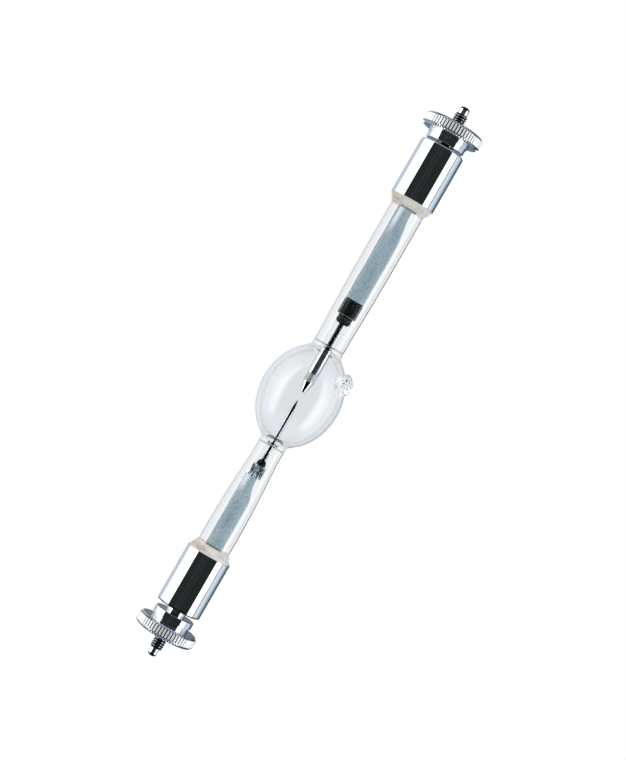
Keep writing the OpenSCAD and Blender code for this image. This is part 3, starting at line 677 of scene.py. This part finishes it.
def knurled_plate():
    """Nickel plate on a turned and knurled nut: a mirror on the turned faces, frosted and pale
    on the rolled teeth, with painted shade making the grooves dark. Where the rim turns away
    from the view, a painted highlight turns the grooves white and the teeth glow faintly."""
    made, tree, place = new_finish("nickel_on_knurling")
    axes = add(tree, "SeparateXYZ", {0: place}).outputs
    flat, out = off_axis(tree, axes)
    r = radius("upper_nut")
    height = add(tree, "MapRange", {
        "Value": out, "From Min": (r - TOOTH_DEPTH) * MM, "From Max": r * MM})
    middle = sum(ends("upper_nut") + ends("lower_nut")) / 4
    rim = ends("upper_nut")[1] - RIM_W / 2 - middle
    rolled = add(tree, "Math", {
        0: off_level(tree, axes, middle), 1: rim * MM, 2: (RIM_W / 2 - RIM_CHAMFER) * MM},
        operation="COMPARE")
    outside = add(tree, "Math", {0: out, 1: (r - TOOTH_DEPTH - 0.3) * MM},
                  operation="GREATER_THAN")
    edge = add(tree, "Math", {0: rolled, 1: outside}, operation="MULTIPLY")
    # Painted shade: the grooves' floor is near black and the teeth's tops pale, by distance from
    # the axis.
    groove = add(tree, "ValToRGB", {0: height}, [
        (0.1, "#0E1113"), (0.5, "#5D666C"), (0.9, "#F4F6F8")])
    # Painted highlight: as the rim's outward direction turns away from the view, the colour goes
    # white.
    outward = add(tree, "VectorMath", {0: flat}, operation="NORMALIZE")
    facing = add(tree, "LayerWeight", {"Blend": 0.5, "Normal": outward}).outputs["Facing"]
    painted_side_sheen = add(tree, "MapRange", {"Value": facing, "From Min": 0.28, "From Max": 0.46})
    groove = add(tree, "Mix", {0: painted_side_sheen, 6: groove, 7: "#FBFCFD"}, data_type="RGBA")
    colour = add(tree, "Mix", {0: edge, 6: "#DDE1E7", 7: groove}, data_type="RGBA")
    rough = add(tree, "MapRange", {"Value": edge, "To Min": 0.1, "To Max": 0.38})
    metal = add(tree, "MapRange", {"Value": edge, "To Min": 1.0, "To Max": 0.45})
    grain = add(tree, "TexNoise", {
        "Vector": add(tree, "Mapping", {"Vector": place, "Scale": per_mm(0.5, 0.5, 0.4)}),
        "Scale": 1.0, "Detail": 3.0})
    relief = add(tree, "Bump", {"Strength": 0.4, "Distance": 0.01 * MM, "Height": grain})
    # Painted highlight: there the rolled teeth also glow faintly.
    glint = add(tree, "Math", {0: painted_side_sheen, 1: edge}, operation="MULTIPLY")
    glint = add(tree, "Math", {0: glint, 1: 0.2}, operation="MULTIPLY")
    add(tree, "OutputMaterial", {0: add(tree, "BsdfPrincipled", {
        "Base Color": colour, "Metallic": metal, "Roughness": rough, "Normal": relief,
        "Emission Color": "#FFFFFF", "Emission Strength": glint})})
    return made


def crimped_molybdenum():
    """Thin molybdenum crimped and crushed round the rod's end: bright metal whose colour follows
    the bumped folds, painted dark in their hollows as shade and near white on their crests as
    highlights.
    """
    made, tree, place = new_finish("crimped_molybdenum")
    folds = add(tree, "TexNoise", {
        "Vector": add(tree, "Mapping", {"Vector": place, "Scale": per_mm(1.5, 1.5, 4)}),
        "Scale": 1.0, "Detail": 2.0})
    # Painted shade and highlights: the same noise that bumps the folds darkens their hollows and
    # whitens their crests.
    colour = add(tree, "ValToRGB", {0: folds}, [
        (0.38, "#5E7078"), (0.5, "#B9C9D0"), (0.6, "#F4FAFC")])
    relief = add(tree, "Bump", {"Strength": 1.0, "Distance": 0.9 * MM, "Height": folds})
    add(tree, "OutputMaterial", {0: add(tree, "BsdfPrincipled", {
        "Base Color": colour, "Metallic": 0.9, "Roughness": 0.16, "Normal": relief})})
    return made


def polished_tungsten():
    """Turned and polished tungsten, a pale mirror with painted shade, a dark streak down its
    front that is narrower on the cone, and painted shade darkening its outline. The ground band
    behind the cone is matte; across the lamp it goes from straw on the left through a dark teal
    down the front, painted shade, to white on the right, a painted highlight."""
    made, tree, place = new_finish("polished_tungsten")
    axes = add(tree, "SeparateXYZ", {0: place}).outputs
    tip = ends("anode")[0]
    level = add(tree, "MapRange", {
        "Value": axes["Z"], "From Min": (tip + ANODE_CONE) * MM,
        "From Max": (tip + ANODE_CONE + ANODE_BAND) * MM})
    band = add(tree, "Math", {0: level, 1: 0.5, 2: 0.495}, operation="COMPARE")
    across = add(tree, "MapRange", {
        "Value": axes["X"], "From Min": -3.3 * MM, "From Max": 3.3 * MM})
    # Partly painted: the band's straw and pale blue-green tints are its own; the dark teal down
    # its front is painted shade and the white on its right a painted highlight.
    band_tint_and_shade = add(tree, "ValToRGB", {0: across}, [
        (0, "#F3EFD9"), (0.28, "#E9E8D2"), (0.34, "#A3C4BB"), (0.58, "#6E9C9B"),
        (0.64, "#FFFFFF"), (1, "#FFFFFF")])
    marks = add(tree, "TexNoise", {
        "Vector": add(tree, "Mapping", {"Vector": place, "Scale": per_mm(6, 6, 0.25)}),
        "Scale": 1.0, "Detail": 2.0})
    plain = add(tree, "ValToRGB", {0: marks}, [(0.3, "#F4F5F5"), (0.7, "#FAFAFA")])
    side = add(tree, "Math", {0: axes["X"]}, operation="ABSOLUTE")
    half = add(tree, "MapRange", {
        "Value": axes["Z"], "From Min": tip * MM, "From Max": (tip + 6) * MM,
        "To Min": 0.65 * MM, "To Max": 1.1 * MM})
    side = add(tree, "Math", {0: side, 1: half}, operation="SUBTRACT")
    # Painted shade: a dark streak down the front, narrower towards the tip.
    painted_front_shade = add(tree, "MapRange", {"Value": side, "From Min": 0.0, "From Max": -0.2 * MM})
    plain = add(tree, "Mix", {0: painted_front_shade, 6: plain, 7: "#2C3A37"}, data_type="RGBA")
    # Painted shade: where the surface turns away from the view, it darkens towards the outline.
    facing = add(tree, "LayerWeight", {"Blend": 0.5}).outputs["Facing"]
    edge = add(tree, "MapRange", {"Value": facing, "From Min": 0.72, "From Max": 0.8})
    plain = add(tree, "Mix", {0: edge, 6: plain, 7: "#4A5250"}, data_type="RGBA")
    colour = add(tree, "Mix", {0: band, 6: plain, 7: band_tint_and_shade}, data_type="RGBA")
    rough = add(tree, "MapRange", {"Value": band, "To Min": 0.05, "To Max": 0.42})
    metal = add(tree, "MapRange", {"Value": band, "To Min": 1.0, "To Max": 0.1})
    relief = add(tree, "Bump", {"Strength": 0.4, "Distance": 0.002 * MM, "Height": marks})
    add(tree, "OutputMaterial", {0: add(tree, "BsdfPrincipled", {
        "Base Color": colour, "Metallic": metal, "Roughness": rough, "Normal": relief})})
    return made


def drawn_tungsten():
    """Swaged and drawn tungsten rod, cleaned but not polished: dark grey-green, with a soft
    shine and fine lines along it."""
    made, tree, place = new_finish("drawn_tungsten")
    lines = add(tree, "TexNoise", {
        "Vector": add(tree, "Mapping", {"Vector": place, "Scale": per_mm(0.3, 0.3, 12)}),
        "Scale": 1.0, "Detail": 3.0})
    colour = add(tree, "ValToRGB", {0: lines}, [(0.3, "#3A4341"), (0.7, "#4E5856")])
    rough = add(tree, "MapRange", {"Value": lines, "To Min": 0.16, "To Max": 0.3})
    relief = add(tree, "Bump", {"Strength": 0.4, "Distance": 0.01 * MM, "Height": lines})
    add(tree, "OutputMaterial", {0: add(tree, "BsdfPrincipled", {
        "Base Color": colour, "Metallic": 1.0, "Roughness": rough, "Normal": relief})})
    return made


def ground_tungsten():
    """Tungsten rod ground and polished to its point: bright at the point, greyer and softer
    towards the neck, where it keeps the skin of drawing, with painted shade, a dark teal streak,
    down its front."""
    made, tree, place = new_finish("ground_tungsten")
    axes = add(tree, "SeparateXYZ", {0: place}).outputs
    low, tip = ends("cathode")
    level = add(tree, "MapRange", {
        "Value": axes["Z"], "From Min": low * MM, "From Max": tip * MM})
    lines = add(tree, "TexNoise", {
        "Vector": add(tree, "Mapping", {"Vector": place, "Scale": per_mm(0.4, 0.4, 9)}),
        "Scale": 1.0, "Detail": 3.0})
    mixed = add(tree, "Mix", {0: 0.2, 2: level, 3: lines}, data_type="FLOAT")
    colour = add(tree, "ValToRGB", {0: mixed}, [
        (0.12, "#414A48"), (0.26, "#CFD6D4"), (0.5, "#F0F2F2")])
    side = add(tree, "Math", {0: axes["X"]}, operation="ABSOLUTE")
    # Painted shade: a dark teal streak down the front.
    painted_front_shade = add(tree, "MapRange", {"Value": side, "From Min": 0.8 * MM, "From Max": 0.6 * MM})
    colour = add(tree, "Mix", {0: painted_front_shade, 6: colour, 7: "#1D3A42"}, data_type="RGBA")
    rough = add(tree, "MapRange", {"Value": level, "To Min": 0.12, "To Max": 0.04})
    relief = add(tree, "Bump", {"Strength": 0.4, "Distance": 0.004 * MM, "Height": lines})
    add(tree, "OutputMaterial", {0: add(tree, "BsdfPrincipled", {
        "Base Color": colour, "Metallic": 1.0, "Roughness": rough, "Normal": relief})})
    return made


def oxidised_molybdenum():
    """Turned molybdenum, oxidised nearly black in sealing, green-black with paler turning
    lines, and two painted highlights, pale bands where the upper holder meets the plug and in
    its groove."""
    made, tree, place = new_finish("oxidised_molybdenum")
    level = add(tree, "SeparateXYZ", {0: place}).outputs["Z"]
    rings = add(tree, "TexNoise", {
        "Vector": add(tree, "Mapping", {"Vector": place, "Scale": per_mm(8, 8, 0.7)}),
        "Scale": 1.0, "Detail": 1.0})
    stains = add(tree, "TexNoise", {
        "Vector": add(tree, "Mapping", {"Vector": place, "Scale": per_mm(0.9, 0.9, 9)}),
        "Scale": 1.0, "Detail": 2.0})
    mixed = add(tree, "Mix", {0: 0.8, 2: rings, 3: stains}, data_type="FLOAT")
    colour = add(tree, "ValToRGB", {0: mixed}, [
        (0.3, "#0F1413"), (0.54, "#1E2625"), (0.66, "#4A5552")])
    top = ends("upper_holder")[1]
    # Painted highlights: two pale bands, at the holder's top and at its groove.
    for line_z, half, code in ((top + 0.1, 0.15, "#A3B3AF"), (top - 1.9, 0.35, "#56635F")):
        bright = add(tree, "Math", {0: level, 1: line_z * MM, 2: half * MM},
                     operation="COMPARE")
        colour = add(tree, "Mix", {0: bright, 6: colour, 7: code}, data_type="RGBA")
    rough = add(tree, "MapRange", {"Value": stains, "To Min": 0.3, "To Max": 0.5})
    relief = add(tree, "Bump", {"Strength": 0.4, "Distance": 0.01 * MM, "Height": rings})
    add(tree, "OutputMaterial", {0: add(tree, "BsdfPrincipled", {
        "Base Color": colour, "Metallic": 0.6, "Roughness": rough, "Normal": relief})})
    return made


def molybdenum_foil():
    """Etched molybdenum foil pressed to the quartz: an even matte blue-grey with a fine
    slanting grain. Near the upper end, where the sheet has been drawn in, a pale band on its
    left side is a painted highlight, with a dark brown-grey line along that side's edge. The
    pale band also glows faintly, painted light standing in for its reflection of the window,
    which doesn't come out through the quartz in the render."""
    made, tree, place = new_finish("molybdenum_foil")
    axes = add(tree, "SeparateXYZ", {0: place}).outputs
    half = 3.9               # the upper foil's radius
    slant = add(tree, "Mapping", {"Vector": place, "Rotation": (0, 0.6, 0)})
    grain = add(tree, "TexNoise", {
        "Vector": add(tree, "Mapping", {"Vector": slant, "Scale": per_mm(0.6, 0.6, 1.8)}),
        "Scale": 1.0, "Detail": 3.0, "Roughness": 0.6})
    cloud = add(tree, "TexNoise", {
        "Vector": add(tree, "Mapping", {"Vector": place, "Scale": per_mm(7, 7, 22)}),
        "Scale": 1.0, "Detail": 2.0})
    mixed = add(tree, "Mix", {0: 0.45, 2: grain, 3: cloud}, data_type="FLOAT")
    colour = add(tree, "ValToRGB", {0: mixed}, [
        (0.36, "#9FBBCC"), (0.5, "#BDD5E3"), (0.64, "#D8E8EF")])
    drawn_in = []
    for node, reach in (("upper_foil", 22), ("lower_foil", 13)):
        high = ends(node)[1]
        rise = add(tree, "MapRange", {
            "Value": axes["Z"], "From Min": (high - reach) * MM,
            "From Max": (high - reach / 4) * MM}, interpolation_type="SMOOTHSTEP")
        below = add(tree, "Math", {0: axes["Z"], 1: (high + 1) * MM}, operation="LESS_THAN")
        drawn_in.append(add(tree, "Math", {0: rise, 1: below}, operation="MULTIPLY"))
    near = add(tree, "Math", {0: drawn_in[0], 1: drawn_in[1]}, operation="MAXIMUM")
    across = add(tree, "MapRange", {
        "Value": axes["X"], "From Min": -half * MM, "From Max": half * MM})
    # Painted highlight: a pale band on the left side near the upper end.
    painted_highlight_stripe = add(tree, "ValToRGB", {0: across}, [
        (0.04, "#000000"), (0.09, "#FFFFFF"), (0.2, "#FFFFFF"), (0.38, "#000000")])
    pale = add(tree, "Math", {0: near, 1: painted_highlight_stripe}, operation="MULTIPLY")
    colour = add(tree, "Mix", {0: pale, 6: colour, 7: "#EEF6FF"}, data_type="RGBA")
    # Painted light: the pale band glows faintly.
    glow = add(tree, "Math", {0: pale, 1: 0.25}, operation="MULTIPLY")
    # A dark brown-grey line along the left edge.
    dark_edge_line = add(tree, "MapRange", {
        "Value": axes["X"], "From Min": (0.2 - half) * MM, "From Max": (0.08 - half) * MM})
    colour = add(tree, "Mix", {0: dark_edge_line, 6: colour, 7: "#75696A"}, data_type="RGBA")
    matte = add(tree, "MapRange", {"Value": cloud, "To Min": 0.42, "To Max": 0.62})
    rough = add(tree, "Mix", {0: pale, 2: matte, 3: 0.2}, data_type="FLOAT")
    relief = add(tree, "Bump", {"Strength": 0.6, "Distance": 0.03 * MM, "Height": grain})
    add(tree, "OutputMaterial", {0: add(tree, "BsdfPrincipled", {
        "Base Color": colour, "Metallic": 0.1, "Roughness": rough, "Normal": relief,
        "Emission Color": "#DCEBFA", "Emission Strength": glow})})
    return made


def welded_molybdenum():
    """Punched molybdenum disc, cleaned before welding: matte grey-blue with faint rings."""
    made, tree, place = new_finish("welded_molybdenum")
    cloud = add(tree, "TexNoise", {
        "Vector": add(tree, "Mapping", {"Vector": place, "Scale": per_mm(1.2, 1.2, 0.4)}),
        "Scale": 1.0, "Detail": 2.0})
    colour = add(tree, "ValToRGB", {0: cloud}, [(0.3, "#93A7B2"), (0.7, "#AFC1CA")])
    relief = add(tree, "Bump", {"Strength": 0.5, "Distance": 0.02 * MM, "Height": cloud})
    add(tree, "OutputMaterial", {0: add(tree, "BsdfPrincipled", {
        "Base Color": colour, "Metallic": 0.3, "Roughness": 0.5, "Normal": relief})})
    return made


def base_cement():
    """Cast mineral cement, dried: matte off-white with sandy grain, darker beige towards -X and
    paler grey towards +X. Near the cap's mouth its inner wall glows softly, painted light
    where little light reaches it through the quartz."""
    made, tree, place = new_finish("base_cement")
    axes = add(tree, "SeparateXYZ", {0: place}).outputs
    sand = add(tree, "TexNoise", {
        "Vector": add(tree, "Mapping", {"Vector": place, "Scale": per_mm(0.6, 0.6, 0.5)}),
        "Scale": 1.0, "Detail": 4.0, "Roughness": 0.65})
    patch = add(tree, "TexNoise", {
        "Vector": add(tree, "Mapping", {"Vector": place, "Scale": per_mm(7, 7, 3)}),
        "Scale": 1.0, "Detail": 2.0})
    warm = add(tree, "MapRange", {
        "Value": axes["X"], "From Min": -11 * MM, "From Max": 8 * MM})
    mixed = add(tree, "Mix", {0: 0.5, 2: sand, 3: patch}, data_type="FLOAT")
    beige = add(tree, "ValToRGB", {0: mixed}, [
        (0.36, "#A99F93"), (0.5, "#CAC1B5"), (0.64, "#DDD6CC")])
    grey = add(tree, "ValToRGB", {0: mixed}, [
        (0.36, "#B9B7B2"), (0.5, "#D6D5D1"), (0.64, "#E9E9E6")])
    colour = add(tree, "Mix", {0: warm, 6: beige, 7: grey}, data_type="RGBA")
    relief = add(tree, "Bump", {"Strength": 0.7, "Distance": 0.15 * MM, "Height": sand})
    # Painted light: the inner wall near each cap's mouth glows softly.
    inner = add(tree, "Math", {0: off_axis(tree, axes)[1], 1: (UPPER_SHAFT_R - 0.05) * MM},
                operation="LESS_THAN")
    low, high = ends("lower_cement")[1], ends("upper_cement")[0]
    mouth = add(tree, "Math", {
        0: axes["Z"], 1: (low + high) / 2 * MM, 2: ((high - low) / 2 + 5) * MM},
        operation="COMPARE")
    glow = add(tree, "Math", {0: inner, 1: mouth}, operation="MULTIPLY")
    glow = add(tree, "Math", {0: glow, 1: 0.45}, operation="MULTIPLY")
    add(tree, "OutputMaterial", {0: add(tree, "BsdfPrincipled", {
        "Base Color": colour, "Roughness": 0.9, "Normal": relief,
        "Emission Color": "#F0EBE2", "Emission Strength": glow})})
    return made


# ---------------------------------------------------------------- the lamp
dark_metal = oxidised_molybdenum()
cement_finish = base_cement()
cap_plate = mirror_plate("bright_nickel_on_caps", "#E9ECF0", 0.05, 0.5, painted_shade_ends=True)
stud_plate = threaded_plate()
washer_plate = mirror_plate("bright_nickel_on_washers", "#E2E6EB", 0.07, 0.3)
nut_plate = knurled_plate()

quartz(flame_polished_quartz())
anode(polished_tungsten())
make("anode_rod_body", [shell(turned(rod(ROD_R, *ends("anode_rod")), 64))], drawn_tungsten(),
     "drawn_tungsten", "anode_rod")
cathode(ground_tungsten())
holders(dark_metal)
foils(molybdenum_foil())
crimped_cup(crimped_molybdenum())

for end, boss_h, corner, shaft_r, seed in (
        ("lower", LOWER_BOSS_H, LOWER_EDGE_R, LOWER_SHAFT_R, 20),
        ("upper", UPPER_BOSS_H, UPPER_EDGE_R, UPPER_SHAFT_R, 30)):
    section, cement = cap_profile(boss_h, corner), cement_grid(shaft_r, seed)
    if end == "upper":
        section, cement = flipped(section, CAP_SPAN), mirrored(cement, CAP_SPAN)
    make(end + "_cap_body", [shell(turned(section, 192), loop=True)], cap_plate, "plated_cap",
         end + "_cap")
    make(end + "_cement_ring", [shell(cement, loop=True)], cement_finish, "base_cement",
         end + "_cement")

make("lower_stud_thread", [shell(stud_grid(LOWER_STUD_LEN, *LOWER_PIN))], stud_plate,
     "plated_stud", "lower_stud")
upper_stud = mirrored(stud_grid(UPPER_STUD_LEN, *UPPER_PIN), CAP_SPAN)
make("upper_stud_thread", [shell(upper_stud)], stud_plate, "plated_stud", "upper_stud")
for end, round_top in (("lower", True), ("upper", False)):
    name = end + "_washer"
    section = washer_profile(radius(name), *ends(name), round_top)
    make(name + "_body", [shell(turned(section, 160), loop=True)], washer_plate,
         "plated_washer", name, body=name)
lower_nut = nut_grid(*LOWER_HUB, ends("lower_nut")[0])
upper_nut = mirrored(nut_grid(*UPPER_HUB, 0), ends("upper_nut")[1])
for name, grid in (("lower_nut", lower_nut), ("upper_nut", upper_nut)):
    make(name + "_body", [shell(grid, loop=True)], nut_plate, "plated_nut", name, body=name)

disc_metal = welded_molybdenum()
lead_metal = mirror_plate("drawn_nickel_leads", "#B9B2A6", 0.3, 0.4)
for node, finish in (("upper_disc", disc_metal), ("lower_disc", disc_metal),
                     ("upper_lead", lead_metal), ("lower_lead", lead_metal)):
    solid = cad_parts[node]
    if not solid.material_slots:
        solid.data.materials.append(finish)
    for place in solid.material_slots:
        place.material = finish


# ---------------------------------------------------------------- floor, light and camera
FLOOR_Z = -0.2
FLOOR_GLOW = 0.26                # added for the camera alone, so that the floor shows white
PIXEL = 0.0005704                # metres at the lamp to a pixel of the picture
PICTURE_H = 760
FILM, FOCAL = 36, 90
LEAN = math.radians(29.92)
MIDDLE_Z = 0.14915               # level of the lamp's middle, in metres
# From there to the picture's middle, in pixels: along X, then right and up in the picture.
MIDDLE_X, SHIFT_RIGHT, SHIFT_UP = -0.8, 5.1, 1.2


def pale_floor():
    """A round sheet of pale matt paper far below the lamp: a flat disc, ring by ring."""
    disc = np.array([[0, 0], [300, 0], [600, 0], [1200, 0]], float)
    floor = bpy.data.objects.new(
        "floor", mesh_of("floor", [shell(turned(disc, 96), inward=True)]))
    bpy.context.collection.objects.link(floor)
    floor.location.z = FLOOR_Z
    paper = bpy.data.materials.new("pale_paper")
    tree = emptied(paper)
    seen = add(tree, "LightPath").outputs
    matt = add(tree, "BsdfDiffuse", {"Color": "#E6E6E4"})
    share = add(tree, "Math", {0: seen["Is Camera Ray"], 1: FLOOR_GLOW}, operation="MULTIPLY")
    glow = add(tree, "Emission", {"Strength": share})
    add(tree, "OutputMaterial", {0: add(tree, "AddShader", {0: matt, 1: glow})})
    floor.data.materials.append(paper)
    floor.visible_glossy = floor.visible_transmission = False


def at(degrees):
    """Place on the studio's ramp of a direction, turned from the front towards +X."""
    return 0.5 + degrees / 360


def mirrored_room(tree, axes, turn):
    """What bright metal shows, by direction: a dark front between two white cloths, each with
    a brighter window, a blue-grey room behind, and grey above and below. Gives the colour, its
    strength and where it is steep."""
    walls = add(tree, "ValToRGB", {0: turn}, [
        (at(-180), "#6A767F"), (at(-176), "#707C86"), (at(-170), "#AEB8C2"),
        (at(-122), "#BCC6D0"), (at(-116), "#FFFFFF"), (at(-54.5), "#FFFFFF"),
        (at(-52.5), "#222524"), (at(-17), "#242726"), (at(-14), "#33383B"),
        (at(-11), "#242726"), (at(1), "#242726"), (at(4), "#303537"), (at(7), "#222524"),
        (at(52.5), "#222524"), (at(55), "#FFFFFF"), (at(88), "#FFFFFF"), (at(89.5), "#1F262C"),
        (at(92.5), "#1F262C"), (at(94), "#D9E3EA"), (at(114), "#C2CFD8"), (at(132), "#7D8F9C"),
        (at(147), "#3C4750"), (at(170), "#333D45"), (at(180), "#6A767F")])
    high = add(tree, "MapRange", {"Value": axes["Z"], "From Min": 0.5, "From Max": 0.75})
    low = add(tree, "MapRange", {"Value": axes["Z"], "From Min": -0.62, "From Max": -0.8})
    behind = add(tree, "MapRange", {"Value": axes["Y"], "From Min": 0.1, "From Max": 0.35})
    ceiling = add(tree, "Mix", {0: behind, 6: "#8A97A1", 7: "#20262A"}, data_type="RGBA")
    ground = add(tree, "Mix", {0: behind, 6: "#66717A", 7: "#20262A"}, data_type="RGBA")
    colour = add(tree, "Mix", {0: high, 6: walls, 7: ceiling}, data_type="RGBA")
    colour = add(tree, "Mix", {0: low, 6: colour, 7: ground}, data_type="RGBA")
    windows = add(tree, "ValToRGB", {0: turn}, [
        (at(-88), "#000000"), (at(-72), "#FFFFFF"), (at(-60), "#FFFFFF"), (at(-52), "#000000"),
        (at(53), "#000000"), (at(61), "#FFFFFF"), (at(72), "#FFFFFF"), (at(86), "#000000")])
    tilt = add(tree, "Math", {0: axes["Z"], 1: 0.2}, operation="ADD")
    tilt = add(tree, "Math", {0: tilt}, operation="ABSOLUTE")
    span = add(tree, "MapRange", {"Value": tilt, "From Min": 0.6, "From Max": 0.4})
    shine = add(tree, "Math", {0: windows, 1: span}, operation="MULTIPLY")
    strength = add(tree, "Math", {0: shine, 1: 2.0, 2: 1.25}, operation="MULTIPLY_ADD")
    return colour, strength, add(tree, "Math", {0: high, 1: low}, operation="MAXIMUM")


def studio():
    """The room round the lamp. Bright metal shows a room with cloths and windows. What is lit
    diffusely gets even light, what is seen straight through the quartz is white with a dark
    gap at one side, and a ray that the quartz has turned back sees pale grey."""
    world = bpy.data.worlds.new("studio")
    bpy.context.scene.world = world
    tree = emptied(world)
    axes = add(tree, "SeparateXYZ", {0: add(tree, "TexCoord").outputs["Generated"]}).outputs
    front = add(tree, "Math", {0: axes["Y"], 1: -1.0}, operation="MULTIPLY")
    side = add(tree, "Math", {0: axes["X"], 1: front}, operation="ARCTAN2")
    turn = add(tree, "MapRange", {"Value": side, "From Min": -np.pi, "From Max": np.pi})
    colour, strength, steep = mirrored_room(tree, axes, turn)
    inside = add(tree, "ValToRGB", {0: turn}, [
        (0, "#EEF1F4"), (at(-58), "#F4F6F8"), (at(-54), "#F4F6F8"), (at(-51), "#2B302F"),
        (at(51), "#2B302F"), (at(54), "#F4F6F8"), (at(90), "#EEF1F4"), (1, "#EEF1F4")])
    inside = add(tree, "Mix", {0: steep, 6: inside, 7: "#DDE2E6"}, data_type="RGBA")
    through = add(tree, "ValToRGB", {0: turn}, [
        (0, "#FFFFFF"), (at(-164), "#FFFFFF"), (at(-159), "#E3E8EB"), (at(-155), "#FFFFFF"),
        (at(-143), "#FFFFFF"), (at(-138), "#D5DCE0"), (at(-133), "#FFFFFF"),
        (at(-120), "#FFFFFF"), (at(-113), "#8C7B6E"), (at(-96), "#3A2E28"),
        (at(-86), "#4A4542"), (at(-80), "#FFFFFF"), (at(92), "#FFFFFF"), (at(98), "#C9CED2"),
        (at(112), "#DADFE2"), (at(120), "#F3F4F6"), (at(165), "#F3F4F6"), (at(170), "#FFFFFF")])
    seen = add(tree, "LightPath").outputs
    glossy = add(tree, "Math", {0: seen["Glossy Depth"], 1: 0.5}, operation="GREATER_THAN")
    lit = add(tree, "Math", {0: seen["Diffuse Depth"], 1: 0.5}, operation="GREATER_THAN")
    depth = seen["Transmission Depth"]
    # Metal in the bulb is seen through its wall: two surfaces on the way in, two on the way out.
    bent = add(tree, "Math", {0: depth, 1: 4.0, 2: 0.5}, operation="COMPARE")
    straight = add(tree, "Math", {0: depth, 1: 0.5}, operation="LESS_THAN")
    plain = add(tree, "Math", {0: bent, 1: straight}, operation="MAXIMUM")
    turned_back = add(tree, "Math", {0: 1.0, 1: plain}, operation="SUBTRACT")
    refracted = add(tree, "Math", {0: depth, 1: 2.0, 2: 0.5}, operation="COMPARE")
    backdrop = add(tree, "Mix", {0: refracted, 6: "#FFFFFF", 7: through}, data_type="RGBA")
    white = add(tree, "Background", {"Color": backdrop, "Strength": 1.0})
    room = add(tree, "Background", {"Color": colour, "Strength": strength})
    pale = add(tree, "Background", {"Color": inside, "Strength": 1.0})
    even = add(tree, "Background", {"Color": "#FFFFFF", "Strength": 0.95})
    mixed = add(tree, "MixShader", {0: turned_back, 1: room, 2: pale})
    mixed = add(tree, "MixShader", {0: glossy, 1: white, 2: mixed})
    add(tree, "OutputWorld", {0: add(tree, "MixShader", {0: lit, 1: mixed, 2: even})})


def softboxes():
    """Two round softboxes that give the floor its shadow and the cement its form."""
    for name, place, size, power in (("left_softbox", (-0.9, -0.5, 0.9), 0.9, 3.0),
                                     ("right_softbox", (1.0, -0.3, 0.6), 0.7, 1.0)):
        lamp = bpy.data.lights.new(name, "AREA")
        lamp.shape, lamp.size, lamp.energy = "DISK", size, power
        holder = bpy.data.objects.new(name, lamp)
        holder.location = place
        aim = Vector((0, 0, 0.15)) - holder.location
        holder.rotation_euler = aim.to_track_quat("-Z", "Y").to_euler()
        holder.visible_camera = holder.visible_glossy = holder.visible_transmission = False
        bpy.context.collection.objects.link(holder)


def leaning_camera():
    """The camera looks along +Y at the lamp's middle and leans, so that the lamp leans 30
    degrees to the right. Its distance is the picture's height at the lamp over the film's
    height, times the focal length."""
    right = np.array([math.cos(LEAN), 0, math.sin(LEAN)])
    up = np.array([-math.sin(LEAN), 0, math.cos(LEAN)])
    middle = np.array([MIDDLE_X * PIXEL, 0, MIDDLE_Z]) + PIXEL * (
        SHIFT_RIGHT * right + SHIFT_UP * up)
    lens = bpy.data.cameras.new("camera")
    lens.sensor_fit, lens.sensor_height, lens.sensor_width = "VERTICAL", FILM, FILM
    lens.lens = FOCAL
    distance = PICTURE_H * PIXEL * FOCAL / FILM
    axes = np.column_stack([right, up, [0, -1, 0], middle + [0, -distance, 0]])
    camera = bpy.data.objects.new("camera", lens)
    camera.matrix_world = Matrix([*axes.tolist(), [0, 0, 0, 1]])
    bpy.context.collection.objects.link(camera)
    bpy.context.scene.camera = camera


pale_floor()
studio()
softboxes()
leaning_camera()
bpy.context.scene.view_settings.view_transform = "Standard"
